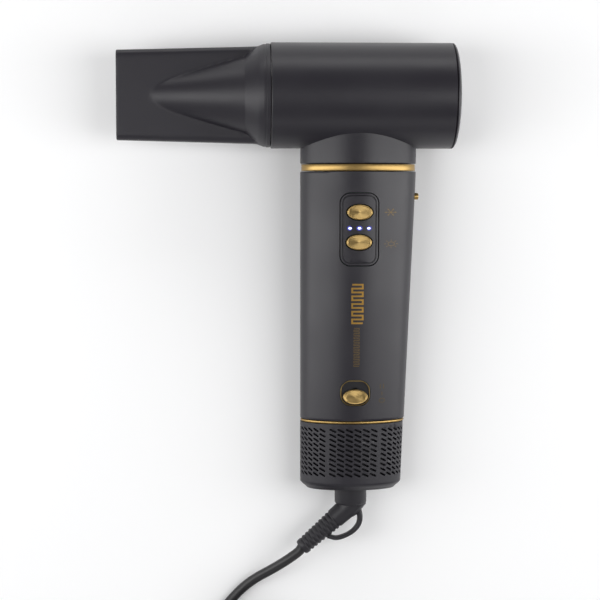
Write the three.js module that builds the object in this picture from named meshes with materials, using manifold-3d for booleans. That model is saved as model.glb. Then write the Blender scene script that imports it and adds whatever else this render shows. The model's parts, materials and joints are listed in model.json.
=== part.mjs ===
// Hair dryer with a blower in the handle, a round barrel and a flat nozzle, lying on its side.
// Millimetres. In the dryer's own frame X runs along the barrel with the nozzle at -X, Y runs up the
// handle with the barrel's axis at y = 0, and Z points out of the side that carries the controls.
// The last lines lay the dryer down, so that the barrel and the foot of the handle rest on z = 0.
import * as THREE from 'three';
import { mergeVertices } from 'three/addons/utils/BufferGeometryUtils.js';
import Module from 'manifold-3d';

const wasm = await Module();
wasm.setup();

// Fits
const gap = 0.3; // between pieces that meet
const shellWall = 1.8;
const slack = 20; // how far a cutter runs past what it cuts

// Barrel
const barrelRadius = 26.1;
const barrelFront = -43.5;
const barrelRear = 46.2;
const rearCoverDepth = 2.8;
const rearCoverRounding = 2.6; // how far the edge falls back
const rearCoverRoundingWidth = 14; // and how far in from the edge that starts
const rearCoverThickness = 2.2;
const spigotLength = 5;
const spigotWall = 1.4;

// Outlet at the front of the barrel
const outletRadius = 19.2;
const outletRingDepth = 6.5;
const outletLipLength = 2.5;
const outletLipWall = 1.8;
const grilleThickness = 2;
const grilleRingWidth = 1;
const grilleRingRadii = [18.6, 14.6, 10.6];
const grilleHubRadius = 6.6;
const grilleSpokes = 3;

// Nozzle
const nozzleLength = 77.5;
const nozzleRimInset = 0.6; // inside the barrel's outline
const nozzleRimLength = 2.2;
const nozzleCollarInset = 0.9;
const nozzleCollarLength = 3.6;
const nozzleWall = 1.5;
const nozzleRimRadius = barrelRadius - nozzleRimInset;
const nozzleCollarRadius = barrelRadius - nozzleCollarInset;
const nozzleRootHalfHeight = 23.9;
const nozzleTipHalfHeight = 22.1;
const nozzleRootHalfThickness = 6;
const nozzleTipHalfThickness = 5;
const nozzleEdgeRadius = 3;
const nozzleShoulderRadius = 19.6; // where the steep collar cone meets the long cone
const nozzleShoulderFromBase = 12.6;
const nozzleConeTipRadius = 5;
const nozzleConeTipFromBase = 60.5;
const nozzleMagnetWidth = 2.1;
const nozzleMagnetDepth = 2.2;

// Heater
const heaterSleeveRadius = 22.6;
const heaterSleeveWall = 0.6;
const heaterLength = 50;
const heaterFront = -32;
const heaterPlateHalfWidth = 21;
const heaterPlateThickness = 0.8;
const heatingCoilRadius = 17;
const heatingCoilTurns = 4;
const heatingWireRadius = 1.1;
const heatingCoilEndMargin = 5;
const cutoutRadius = 4;
const cutoutThickness = 3;
const ionBox = [12, 14, 10];
const cutoutAt = [20, 9];
const ionAt = [33, -8];

// Handle. Its edge on the nozzle side is straight, and the taper is all on the rear edge.
const neckLength = 33.6; // from the barrel's axis
const gripTop = -37.5;
const gripBottom = -160.5;
const gripTopHalfWidth = 28.85;
const gripBottomHalfWidth = 26.1;
const gripTopHalfDepth = 18;
const gripBottomHalfDepth = 15.8;
const trimRingInset = 0.5;
const trimRingWall = 2.2;
const footRingHeight = 1.1;
const footRingWall = 1.7;

// Air filter at the foot
const cageLength = 33;
const cageChamfer = 3.4;
const cageTopHalfWidth = 25.85;
const cageTopHalfDepth = 15.6;
const cageBottomHalfWidth = 25.3;
const cageBottomHalfDepth = 15.3;
const cageWall = 1.6;
const cagePlate = 2;
const cageSectors = 6;
const cageColumns = 2;
const cageRows = 3;
const cageSectorShare = 0.8; // of a sector's sixty degrees that holds slots
const cageSlotLength = 7.5;
const cageSlotWidth = 2;
const cageSlotSlope = 22; // degrees
const cageSlotMargin = 5.2;
const screenWall = 0.5;

// Controls
const panelWidth = 18.9;
const panelHeight = 35.6;
const panelCorner = 5;
const panelCentre = -65.9;
const panelRecess = 0.5;
const panelThickness = 1.6;
const buttonWidth = 12.65;
const buttonHeight = 7.55;
const buttonProud = 0.9;
const buttonTravel = 0.8;
const buttonRim = 0.6;
const buttonRimHeight = 0.35;
const buttonPlate = 2.6;
const buttonFlange = 0.9;
const buttonFlangeThickness = 0.6;
const buttonStemRadius = 1.4;
const coolButtonAt = -57.5;
const heatButtonAt = -72.2;
const ledAt = -65.3;
const ledSpacing = 4.6;
const ledWidth = 2.1;
const ledHeight = 1.3;
const ledLength = 2.6;
const boardThickness = 1.2;
const boardWidth = 17;
const boardHeight = 37;
const boardBehindFace = 7.6; // from the panel's face to the board's
const switchSize = 6;
const switchHeight = 2;
const plungerRadius = 1.5;
const plungerHeight = 0.6;
const bossRadius = 1.8;
const screwRadius = 0.8;
const screwHeadRadius = 1.7;
const screwHeadHeight = 1;
const screwLength = 5;
const screwX = 6;
const screwY = 15.6;

// Power slider
const knobWidth = 12.4;
const knobHeight = 7.35;
const knobRim = 0.7;
const knobRimHeight = 0.4;
const knobProud = 1.2;
const knobTravel = 3.6;
const knobSideClearance = 0.5;
const knobEndClearance = 0.175;
const slotCentre = -146.5;
const slotCorner = 4.4;
const slotFrame = 0.55;
const slotDepth = 1.4;
const slotFloor = 0.8;
const slotWidth = knobWidth + 2 * (knobSideClearance + slotFrame);
const slotHeight = knobHeight + knobTravel + 2 * (knobEndClearance + slotFrame);
const knobStemWidth = 3;
const knobStemLength = 3.6;
const slideSwitchSize = [10, 12, 3];
const powerBoardSize = [20, 28, 1.2];
const powerBoardAbove = 3; // its middle over the slot's middle

// Cool-shot button on the rear edge
const rearButtonAt = -49.8;
const rearButtonRadius = 1.7;
const rearButtonProud = 2;
const rearButtonTravel = 1;
const rearFlangeRadius = 3;
const rearFlangeThickness = 0.8;
const rearButtonRounding = 0.5;

// Blower
const blowerAxisX = -2;
const ductWall = 0.8;
const ductTop = -86;
const ductBottom = -128;
const mountWall = 0.8;
const mountHeight = 8;
const mountClearance = 0.48; // to the wall of the grip
const statorRadius = 9;
const statorTop = -93;
const statorBottom = -107;
const rotorRadius = 4.7;
const shaftRadius = 1.5;
const shaftStub = 1; // past the upper bearing
const statorVanes = 6;
const vaneThickness = 1.2;
const bearingSeatWall = 1.2;
const bearingRadius = 4;
const bearingHeight = 3;
const impellerHubRadius = 6;
const impellerHeight = 11;
const impellerBlades = 7;
const impellerBladeThickness = 1;
const impellerBladeAngle = 38; // degrees
const impellerClearance = 0.6;

// Swivel and strain relief at the foot
const swivelX = -3.45;
const collarRadius = 8;
const collarTop = -176;
const collarBottom = -204.5;
const collarClearance = 1.5; // in the foot of the filter, so that both can turn and slide
const socketWall = 1.7;
const socketTop = -160;
const socketBottom = -188;
const socketArmWidth = 3;
const leadHoleRadius = 3;
const reliefStart = [-2, -203.8];
const reliefLength = 35;
const reliefStartRadius = 5.5;
const reliefEndRadius = 3.8;
const reliefSlope = 41.4; // degrees below the barrel's direction
const loopWidth = 2.8;
const loopDepth = 4.6;

// Cord, coil and plug, in the frame of the surface that the dryer lies on
const cordDiameter = 5;
const cordSides = 10;
const coilCentre = [-20, -212];
const coilMeanRadius = 28.5;
const coilWidth = 15.8;
const coilHeight = 15.6;
const coilFloor = 1.3;
const tieThickness = 1;
const tieWidth = 9;
const plugWidth = 35;
const plugHeight = 26;
const plugLength = 34;
const plugNeckLength = 16;
const plugNeckRadius = 5;
const plugNeckFlare = 2;
const plugEdge = 1;
const plugCorner = 12;
const plugGripRadius = 4;
const plugGripStart = 8; // behind the neck's end
const plugGripOut = 1.5;
const pinRoot = 7; // inside the plug
const pinRadius = 2.4;
const pinLength = 19;
const pinSpacing = 19;
const plugRear = [12, -247.6];

const barrelSides = 40;
const nozzleSides = 32;
const ovalSides = 36;
const cageSides = 24;
const roundSides = 20;
const ovalSteps = 10; // of the outline of a key, in each half turn
const degree = Math.PI / 180;

// ---- shapes ----

function solidOf(geometry) {
  const bare = geometry.clone();
  bare.deleteAttribute('normal');
  bare.deleteAttribute('uv');
  const merged = mergeVertices(bare, 1e-4);
  const corners = merged.index.array;
  const kept = [];
  for (let i = 0; i < corners.length; i += 3) {
    const [a, b, c] = [corners[i], corners[i + 1], corners[i + 2]];
    if (a !== b && b !== c && c !== a) kept.push(a, b, c);
  }
  return new wasm.Manifold(new wasm.Mesh({
    numProp: 3,
    vertProperties: new Float32Array(merged.attributes.position.array),
    triVerts: new Uint32Array(kept),
  }));
}

function geometryOf(solid) {
  const mesh = solid.getMesh();
  const geometry = new THREE.BufferGeometry();
  geometry.setAttribute('position', new THREE.BufferAttribute(mesh.vertProperties, 3));
  geometry.setIndex(new THREE.BufferAttribute(mesh.triVerts, 1));
  return geometry;
}

// A turned piece about Y. The profile lists [radius, height] with its outer side going up.
function turned(profile, sides = roundSides) {
  const points = profile.map(([radius, height]) => new THREE.Vector2(radius, height));
  return new THREE.LatheGeometry(points, sides);
}

function disc(radius, bottom, top, sides) {
  return turned([[0, bottom], [radius, bottom], [radius, top], [0, top]], sides);
}

function tube(outer, inner, bottom, top, sides) {
  const profile = [[inner, bottom], [outer, bottom], [outer, top], [inner, top], [inner, bottom]];
  return turned(profile, sides);
}

// Turns a piece made about Y so that it runs along the barrel. A flat side faces straight down once
// the dryer lies on its side.
function alongBarrel(geometry, sides = barrelSides) {
  return geometry.rotateY(Math.PI / sides - layTilt).rotateZ(-Math.PI / 2);
}

function towardsControls(geometry) {
  return geometry.rotateX(Math.PI / 2);
}

function block(width, height, depth, x = 0, y = 0, z = 0) {
  return new THREE.BoxGeometry(width, height, depth).translate(x, y, z);
}

// A closed body through rings that all have the same number of points.
function loft(rings) {
  const count = rings[0].length;
  const positions = [];
  const index = [];
  for (const ring of rings) {
    for (const point of ring) positions.push(point.x, point.y, point.z);
  }
  for (let r = 0; r < rings.length - 1; r++) {
    for (let i = 0; i < count; i++) {
      const a = r * count + i;
      const b = r * count + (i + 1) % count;
      index.push(a, b, b + count, a, b + count, a + count);
    }
  }
  const last = (rings.length - 1) * count;
  for (let i = 1; i < count - 1; i++) {
    index.push(0, i + 1, i);
    index.push(last, last + i, last + i + 1);
  }
  const geometry = new THREE.BufferGeometry();
  geometry.setAttribute('position', new THREE.Float32BufferAttribute(positions, 3));
  geometry.setIndex(index);
  return geometry;
}

function ovalRing({ x, y, halfWidth, halfDepth }, sides) {
  const ring = [];
  for (let i = 0; i < sides; i++) {
    const turn = (i + 0.5) * 2 * Math.PI / sides;
    ring.push(new THREE.Vector3(x + halfWidth * Math.cos(turn), y, -halfDepth * Math.sin(turn)));
  }
  return ring;
}

// Sections run from the lowest to the highest.
function oval(sections, sides = ovalSides) {
  return solidOf(loft(sections.map((section) => ovalRing(section, sides))));
}

function mix(from, to, share) {
  return from + (to - from) * share;
}

// The section of the handle at a height, drawn in by an inset.
function gripSection(y, inset = 0) {
  const share = (gripTop - y) / (gripTop - gripBottom);
  const halfWidth = y > gripTop ? gripTopHalfWidth : mix(gripTopHalfWidth, gripBottomHalfWidth, share);
  const halfDepth = y > gripTop ? gripTopHalfDepth : mix(gripTopHalfDepth, gripBottomHalfDepth, share);
  return {
    x: halfWidth - gripTopHalfWidth,
    y,
    halfWidth: halfWidth - inset,
    halfDepth: halfDepth - inset,
  };
}

function roundedRectangle(width, height, corner) {
  const shape = new THREE.Shape();
  const [x, y] = [width / 2, height / 2];
  shape.moveTo(-x + corner, -y);
  shape.lineTo(x - corner, -y);
  shape.absarc(x - corner, -y + corner, corner, -Math.PI / 2, 0);
  shape.lineTo(x, y - corner);
  shape.absarc(x - corner, y - corner, corner, 0, Math.PI / 2);
  shape.lineTo(-x + corner, y);
  shape.absarc(-x + corner, y - corner, corner, Math.PI / 2, Math.PI);
  shape.lineTo(-x, -y + corner);
  shape.absarc(-x + corner, -y + corner, corner, Math.PI, 1.5 * Math.PI);
  return shape;
}

function ovalShape(width, height) {
  const shape = new THREE.Shape();
  shape.absellipse(0, 0, width / 2, height / 2, 0, 2 * Math.PI);
  return shape;
}

// A flat outline pulled along Z from one level to another.
function pulled(shape, from, to, x = 0, y = 0, curveSegments = 3) {
  const settings = { depth: to - from, bevelEnabled: false, curveSegments };
  return new THREE.ExtrudeGeometry(shape, settings).translate(x, y, from);
}

// A round rod through the points of a curve.
function rod(curve, radius, steps, sides) {
  const outline = new THREE.Shape();
  for (let i = 0; i < sides; i++) {
    const turn = i * 2 * Math.PI / sides;
    const [x, y] = [radius * Math.cos(turn), radius * Math.sin(turn)];
    if (i === 0) outline.moveTo(x, y);
    else outline.lineTo(x, y);
  }
  return new THREE.ExtrudeGeometry(outline, { steps, extrudePath: curve, bevelEnabled: false });
}

// ---- finishes ----

function finish(color, roughness, metalness = 0) {
  return new THREE.MeshStandardMaterial({ color, roughness, metalness });
}

const softBlack = () => finish(0x323033, 0.55);
const nozzleBlack = () => finish(0x2b2a2d, 0.5);
const gold = () => finish(0xb5934c, 0.25, 1);
const rubberBlack = () => finish(0x1c1c1d, 0.8);
const lampWhite = () => finish(0xe8ecff, 0.2);
const steel = () => finish(0xb0b3b6, 0.3, 1);
const aluminium = () => finish(0xa6a8ab, 0.4, 1);
const copper = () => finish(0xa8623a, 0.4, 1);
const mica = () => finish(0xb9a67c, 0.7);
const resistanceWire = () => finish(0x8b8378, 0.45, 1);
const boardGreen = () => finish(0x1f5a38, 0.6);
const partWhite = () => finish(0xdad8d2, 0.5);
const magnetGrey = () => finish(0x55575a, 0.35, 1);

function place(group, name, shape, material, x = 0, y = 0, z = 0) {
  const geometry = shape.isBufferGeometry ? shape : geometryOf(shape);
  const mesh = new THREE.Mesh(geometry, material);
  mesh.name = name;
  mesh.position.set(x, y, z);
  group.add(mesh);
}

// ---- how the dryer lies ----

// The tilt that brings the barrel's lowest facet and the foot of the cage to one level.
const cageTop = gripBottom - footRingHeight - 2 * gap;
const cageShoulder = cageTop - cageLength + cageChamfer;
const cageBottom = cageTop - cageLength;
const barrelFacet = barrelRadius * Math.cos(Math.PI / barrelSides);
const cageFacet = cageBottomHalfDepth * Math.cos(Math.PI / cageSides);
const footReach = Math.hypot(cageShoulder, cageFacet);
const layTilt = Math.asin(barrelFacet / footReach) - Math.atan2(cageFacet, -cageShoulder);

// ---- barrel ----

const boreRadius = barrelRadius - shellWall;

function barrelShell() {
  const outside = solidOf(alongBarrel(disc(barrelRadius, barrelFront, barrelRear, barrelSides)));
  const bore = disc(boreRadius, barrelFront - slack, barrelRear + slack, barrelSides);
  const neck = oval([gripSection(-neckLength), gripSection(0)]);
  const neckBore = oval([gripSection(-neckLength - slack, shellWall), gripSection(0, shellWall)]);
  return outside.add(neck).subtract(solidOf(alongBarrel(bore))).subtract(neckBore);
}

function rearCover() {
  const start = barrelRear + gap;
  const end = start + rearCoverDepth;
  const spigot = boreRadius - gap;
  const inner = end - rearCoverThickness;
  const profile = [
    [0, inner],
    [spigot - spigotWall, inner],
    [spigot - spigotWall, start - spigotLength],
    [spigot, start - spigotLength],
    [spigot, start],
    [barrelRadius, start],
  ];
  const arcSteps = 6;
  for (let i = 0; i <= arcSteps; i++) {
    const turn = i / arcSteps * Math.PI / 2;
    profile.push([
      barrelRadius - rearCoverRoundingWidth * (1 - Math.cos(turn)),
      end - rearCoverRounding * (1 - Math.sin(turn)),
    ]);
  }
  profile.push([0, end]);
  return alongBarrel(turned(profile, barrelSides));
}

function outletRing() {
  const outer = boreRadius - gap;
  const lip = outletRadius + outletLipWall;
  const face = barrelFront + gap;
  const profile = [
    [outletRadius, face - outletLipLength],
    [lip, face - outletLipLength],
    [lip, face],
    [outer, face],
    [outer, face + outletRingDepth],
    [outletRadius, face + outletRingDepth],
    [outletRadius, face - outletLipLength],
  ];
  return alongBarrel(turned(profile, ovalSides), ovalSides);
}

function outletGrille() {
  const from = barrelFront + gap;
  const to = from + grilleThickness;
  let grille = solidOf(disc(grilleHubRadius, from, to, roundSides));
  for (const radius of grilleRingRadii) {
    grille = grille.add(solidOf(tube(radius, radius - grilleRingWidth, from, to, roundSides)));
  }
  const reach = grilleRingRadii[0] - grilleRingWidth / 2;
  for (let i = 0; i < grilleSpokes; i++) {
    const spoke = block(2 * reach, grilleThickness, grilleRingWidth, 0, (from + to) / 2);
    grille = grille.add(solidOf(spoke.rotateY(i * Math.PI / grilleSpokes)));
  }
  return alongBarrel(geometryOf(grille), ovalSides);
}

// ---- heater ----

class CoilCurve extends THREE.Curve {
  getPoint(share, target = new THREE.Vector3()) {
    const run = heaterLength - 2 * heatingCoilEndMargin;
    const turn = share * heatingCoilTurns * 2 * Math.PI;
    return target.set(
      heaterFront + heatingCoilEndMargin + run * share,
      heatingCoilRadius * Math.cos(turn),
      heatingCoilRadius * Math.sin(turn),
    );
  }
}

function heatingCoil(radius) {
  const stepsPerTurn = 14;
  return rod(new CoilCurve(), radius, heatingCoilTurns * stepsPerTurn, 5);
}

// Two crossed plates, notched where the wire passes through them.
function heaterFrame() {
  const middle = heaterFront + heaterLength / 2;
  const flat = solidOf(block(heaterLength, 2 * heaterPlateHalfWidth, heaterPlateThickness, middle));
  const upright = solidOf(block(heaterLength, heaterPlateThickness, 2 * heaterPlateHalfWidth, middle));
  return flat.add(upright).subtract(solidOf(heatingCoil(heatingWireRadius + gap)));
}

function heaterSleeve() {
  const inner = heaterSleeveRadius - heaterSleeveWall;
  const sleeve = tube(heaterSleeveRadius, inner, heaterFront, heaterFront + heaterLength, ovalSides);
  return alongBarrel(sleeve, ovalSides);
}

function thermalCutout() {
  return alongBarrel(disc(cutoutRadius, 0, cutoutThickness), roundSides);
}

// ---- nozzle ----

const nozzleBase = barrelFront - gap;
const nozzleTip = nozzleBase - nozzleLength;

// A blade section: an upright rounded rectangle across the barrel's direction.
function bladeRing(x, halfHeight, halfThickness, corner) {
  const ring = [];
  const cornerSteps = 4;
  const corners = [[1, 1], [-1, 1], [-1, -1], [1, -1]];
  corners.forEach(([sideY, sideZ], quarter) => {
    for (let i = 0; i <= cornerSteps; i++) {
      const turn = (quarter + i / cornerSteps) * Math.PI / 2;
      const y = sideY * (halfHeight - corner) + corner * Math.cos(turn);
      const z = sideZ * (halfThickness - corner) + corner * Math.sin(turn);
      ring.push(new THREE.Vector3(x, y, z));
    }
  });
  return ring;
}

function blade(inset, tipX) {
  const rootX = nozzleBase - nozzleCollarLength;
  const corner = nozzleEdgeRadius - inset;
  return solidOf(loft([
    bladeRing(tipX, nozzleTipHalfHeight - inset, nozzleTipHalfThickness - inset, corner),
    bladeRing(rootX, nozzleRootHalfHeight - inset, nozzleRootHalfThickness - inset, corner),
  ]));
}

// The round body of the nozzle: base rim, collar, steep cone and long cone.
function nozzleBody(inset) {
  const at = (fromBase) => nozzleBase - fromBase;
  return solidOf(alongBarrel(turned([
    [0, at(nozzleConeTipFromBase)],
    [nozzleConeTipRadius - inset, at(nozzleConeTipFromBase)],
    [nozzleShoulderRadius - inset, at(nozzleShoulderFromBase)],
    [nozzleRootHalfHeight - inset, at(nozzleCollarLength + nozzleRimLength)],
    [nozzleCollarRadius - inset, at(nozzleCollarLength)],
    [nozzleCollarRadius - inset, at(nozzleRimLength)],
    [nozzleRimRadius - inset, at(nozzleRimLength)],
    [nozzleRimRadius - inset, at(0)],
    [0, at(0)],
  ], nozzleSides), nozzleSides));
}

const magnetOuter = nozzleCollarRadius - nozzleWall - gap;

function nozzleShell() {
  const mouth = disc(magnetOuter + gap, nozzleBase - nozzleMagnetDepth, nozzleBase + slack);
  return nozzleBody(0).add(blade(0, nozzleTip))
    .subtract(nozzleBody(nozzleWall))
    .subtract(blade(nozzleWall, nozzleTip - slack))
    .subtract(solidOf(alongBarrel(mouth, roundSides)));
}

function nozzleMagnet() {
  const ring = tube(magnetOuter, magnetOuter - nozzleMagnetWidth, -nozzleMagnetDepth, 0, ovalSides);
  return alongBarrel(ring, ovalSides);
}

// ---- handle shells and trim ----

const gripMiddle = (y) => gripSection(y).x;
const panelX = gripMiddle(panelCentre);
const slotX = gripMiddle(slotCentre);
const rearEdge = (y) => gripMiddle(y) + gripSection(y).halfWidth;

function gripShell() {
  const inside = oval([
    gripSection(gripBottom - slack, shellWall),
    gripSection(gripTop, shellWall),
    { ...gripSection(gripTop, shellWall), y: gripTop + slack },
  ]);
  const panelHole = roundedRectangle(panelWidth + 2 * gap, panelHeight + 2 * gap, panelCorner + gap);
  const slotHole = roundedRectangle(slotWidth + 2 * gap, slotHeight + 2 * gap, slotCorner + gap);
  const rearHole = disc(rearButtonRadius + gap, 0, gripTopHalfWidth + slack);
  rearHole.rotateZ(-Math.PI / 2).translate(0, rearButtonAt, 0);
  return oval([gripSection(gripBottom), gripSection(gripTop)])
    .subtract(inside)
    .subtract(solidOf(pulled(panelHole, 0, slack * 2, panelX, panelCentre)))
    .subtract(solidOf(pulled(slotHole, 0, slack * 2, slotX, slotCentre)))
    .subtract(solidOf(rearHole));
}

// A hoop of the handle's own section between two heights.
function hoop(bottom, top, inset, wall) {
  const hole = [
    { ...gripSection(bottom, inset + wall), y: bottom - slack },
    { ...gripSection(top, inset + wall), y: top + slack },
  ];
  return oval([gripSection(bottom, inset), gripSection(top, inset)]).subtract(oval(hole));
}

// ---- air filter ----

// The section of the cage at a height, drawn in by an inset.
function cageSection(y, inset = 0) {
  const share = (cageTop - y) / (cageTop - cageShoulder);
  const halfWidth = mix(cageTopHalfWidth, cageBottomHalfWidth, share);
  const halfDepth = mix(cageTopHalfDepth, cageBottomHalfDepth, share);
  return {
    x: halfWidth - gripTopHalfWidth,
    y,
    halfWidth: halfWidth - inset,
    halfDepth: halfDepth - inset,
  };
}

// A sleeve between two heights, for the inside of the cage and for the screen.
function cageSleeve(inset, bottom, top) {
  return oval([cageSection(bottom, inset), cageSection(top, inset)], cageSides);
}

// Slots stand in six sectors with a plain rib between each two.
function cageSlots() {
  const first = cageTop - cageSlotMargin;
  const pitch = (cageShoulder + cageSlotMargin - first) / (cageRows - 1);
  const slots = [];
  for (let sector = 0; sector < cageSectors; sector++) {
    for (let column = 0; column < cageColumns; column++) {
      const across = ((column + 0.5) / cageColumns - 0.5) * cageSectorShare;
      const turn = (sector + across) * 2 * Math.PI / cageSectors + Math.PI / 2;
      for (let row = 0; row < cageRows; row++) {
        const slot = block(cageSlotLength, cageSlotWidth, 3 * cageWall);
        slot.rotateZ(-cageSlotSlope * degree);
        const outX = Math.cos(turn) / cageTopHalfWidth;
        const outZ = Math.sin(turn) / cageTopHalfDepth;
        slot.rotateY(Math.atan2(outX, outZ));
        const y = first + row * pitch;
        const { x, halfWidth, halfDepth } = cageSection(y);
        slots.push(slot.translate(x + halfWidth * Math.cos(turn), y, halfDepth * Math.sin(turn)));
      }
    }
  }
  return slots;
}

function filterCage() {
  const outside = cageSleeve(0, cageShoulder, cageTop);
  let cage = outside.subtract(cageSleeve(cageWall, cageShoulder - slack, cageTop + slack));
  for (const slot of cageSlots()) cage = cage.subtract(solidOf(slot));
  return cage;
}

// The cap that closes the cage, with a hole that clears the swivel's collar.
function filterFoot() {
  const outside = oval([
    { ...cageSection(cageShoulder, cageChamfer), y: cageBottom },
    cageSection(cageShoulder - gap, gap),
  ], cageSides);
  const pocket = oval([
    { ...cageSection(cageShoulder, cageChamfer + cageWall), y: cageBottom + cagePlate },
    { ...cageSection(cageShoulder, cageWall + gap), y: cageShoulder + gap },
  ], cageSides);
  const hole = disc(collarRadius + collarClearance, cageBottom - slack, cageTop);
  return outside.subtract(pocket).subtract(solidOf(hole.translate(swivelX, 0, 0)));
}

function filterScreen() {
  const inset = cageWall + gap;
  const top = cageTop - gap;
  return cageSleeve(inset, cageShoulder + gap, top)
    .subtract(cageSleeve(inset + screenWall, cageShoulder - slack, top + slack));
}

// ---- controls ----

const panelFaceAt = (y) => gripSection(y).halfDepth - panelRecess;
const panelFace = panelFaceAt(panelCentre);
const panelBack = panelFace - panelThickness;
const screwSpots = [[-screwX, screwY], [screwX, -screwY]];
const boardFrontAt = panelFace - boardBehindFace;

function controlPanel() {
  const outline = roundedRectangle(panelWidth, panelHeight, panelCorner);
  const outer = oval([gripSection(gripBottom, panelRecess), gripSection(gripTop, panelRecess)]);
  const back = panelRecess + panelThickness;
  const inner = oval([gripSection(gripBottom - slack, back), gripSection(gripTop + slack, back)]);
  let panel = solidOf(pulled(outline, 0, slack * 2, panelX, panelCentre)).intersect(outer);
  panel = panel.subtract(inner);
  for (const [x, y] of screwSpots) {
    const boss = towardsControls(disc(bossRadius, boardFrontAt + gap, panelBack + gap, 16));
    const bore = towardsControls(disc(screwRadius + gap, 0, boardFrontAt + screwLength, 12));
    panel = panel.add(solidOf(boss.translate(panelX + x, panelCentre + y, 0)));
    panel = panel.subtract(solidOf(bore.translate(panelX + x, panelCentre + y, 0)));
  }
  const buttonHole = ovalShape(buttonWidth + 2 * gap, buttonHeight + 2 * gap);
  for (const y of [coolButtonAt, heatButtonAt]) {
    panel = panel.subtract(solidOf(pulled(buttonHole, 0, slack * 2, gripMiddle(y), y, ovalSteps)));
  }
  const ledHole = ovalShape(ledWidth + 2 * gap, ledHeight + 2 * gap);
  for (const step of [-1, 0, 1]) {
    const x = panelX + step * ledSpacing;
    panel = panel.subtract(solidOf(pulled(ledHole, 0, slack * 2, x, ledAt, 4)));
  }
  return panel;
}

// How far the panel's round back falls away at the ends of a key's flange.
function flangeDrop(y) {
  const { halfWidth, halfDepth } = gripSection(y, panelRecess + panelThickness);
  const reach = buttonWidth / 2 + buttonFlange;
  return halfDepth * (1 - Math.sqrt(1 - (reach / halfWidth) ** 2)) + gap;
}

// An oval key with a shallow dome, a flange behind the panel and a stem. Its face is at z = 0.
function buttonKey(y) {
  const keyFace = panelFaceAt(y) + buttonProud;
  const flangeTop = -(buttonProud + panelThickness + flangeDrop(y) + gap);
  const outline = ovalShape(buttonWidth - 2 * buttonRim, buttonHeight - 2 * buttonRim);
  const dome = new THREE.ExtrudeGeometry(outline, {
    depth: buttonPlate,
    bevelSize: buttonRim,
    bevelThickness: buttonRimHeight,
    bevelSegments: 2,
    curveSegments: ovalSteps,
  });
  dome.translate(0, 0, -buttonPlate - buttonRimHeight);
  const flangeShape = ovalShape(buttonWidth + 2 * buttonFlange, buttonHeight + 2 * buttonFlange);
  const flange = pulled(flangeShape, flangeTop - buttonFlangeThickness, flangeTop, 0, 0, ovalSteps);
  const stem = towardsControls(disc(buttonStemRadius, stemEnd - keyFace, -buttonPlate, 12));
  return solidOf(dome).add(solidOf(flange)).add(solidOf(stem));
}

const switchTop = boardFrontAt + gap + switchHeight + plungerHeight;
const stemEnd = switchTop + buttonTravel + gap;

function pushSwitch() {
  const body = solidOf(block(switchSize, switchSize, switchHeight, 0, 0, switchHeight / 2));
  const plunger = towardsControls(disc(plungerRadius, switchHeight / 2, switchHeight + plungerHeight, 12));
  return body.add(solidOf(plunger));
}

function controlBoard() {
  let board = solidOf(block(boardWidth, boardHeight, boardThickness));
  for (const [x, y] of screwSpots) {
    const hole = towardsControls(disc(screwRadius + gap, -slack, slack, 12)).translate(x, y, 0);
    board = board.subtract(solidOf(hole));
  }
  return board;
}

// A screw with its head's underside at z = 0.
function boardScrew() {
  return towardsControls(turned([
    [0, -screwHeadHeight],
    [screwHeadRadius, -screwHeadHeight],
    [screwHeadRadius, 0],
    [screwRadius, 0],
    [screwRadius, screwLength],
    [0, screwLength],
  ], 12));
}

// ---- power slider ----

const slotFace = gripSection(slotCentre).halfDepth;
const slotLevel = slotFace - slotDepth;
const knobAt = slotCentre - knobTravel / 2;

// A frame around the slot, with a floor that the knob's stem passes through.
function sliderBezel() {
  const outline = roundedRectangle(slotWidth, slotHeight, slotCorner);
  const skin = oval([gripSection(gripBottom), gripSection(gripTop)]);
  const inner = roundedRectangle(slotWidth - 2 * slotFrame, slotHeight - 2 * slotFrame,
    slotCorner - slotFrame);
  const stemSlot = roundedRectangle(knobStemWidth + 2 * gap, knobStemWidth + knobTravel + 2 * gap, gap);
  return solidOf(pulled(outline, slotLevel - slotFloor, slotFace + slack))
    .translate(slotX, slotCentre, 0)
    .intersect(skin)
    .subtract(solidOf(pulled(inner, slotLevel, slotFace + slack, slotX, slotCentre)))
    .subtract(solidOf(pulled(stemSlot, 0, slotFace, slotX, slotCentre)));
}

function sliderKnob() {
  const outline = ovalShape(knobWidth - 2 * knobRim, knobHeight - 2 * knobRim);
  const plate = new THREE.ExtrudeGeometry(outline, {
    depth: slotDepth + knobProud - gap - 2 * knobRimHeight,
    bevelSize: knobRim,
    bevelThickness: knobRimHeight,
    bevelSegments: 2,
    curveSegments: ovalSteps,
  }).translate(0, 0, gap + knobRimHeight);
  const stemMiddle = gap + knobRimHeight - knobStemLength / 2;
  const stem = block(knobStemWidth, knobStemWidth, knobStemLength, 0, 0, stemMiddle);
  return solidOf(plate).add(solidOf(stem));
}

// ---- cool-shot button ----

const rearWall = gripSection(rearButtonAt, shellWall);
const rearWallDrop = rearWall.halfWidth * (1 - Math.sqrt(1 - (rearFlangeRadius / rearWall.halfDepth) ** 2));
const rearButtonLength = rearButtonProud + shellWall + rearWallDrop + gap;
const rearKeyEnd = rearEdge(rearButtonAt) + rearButtonProud;
const rearKeyStart = rearKeyEnd - rearButtonLength;
const rearSwitchTop = rearKeyStart - rearFlangeThickness - rearButtonTravel - gap;

function rearKey() {
  return turned([
    [0, -rearFlangeThickness],
    [rearFlangeRadius, -rearFlangeThickness],
    [rearFlangeRadius, 0],
    [rearButtonRadius, 0],
    [rearButtonRadius, rearButtonLength - rearButtonRounding],
    [rearButtonRadius - rearButtonRounding, rearButtonLength],
    [0, rearButtonLength],
  ], 20).rotateZ(-Math.PI / 2);
}

function rearSwitch() {
  return pushSwitch().rotate([0, 90, 0]);
}

// ---- blower ----

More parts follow.
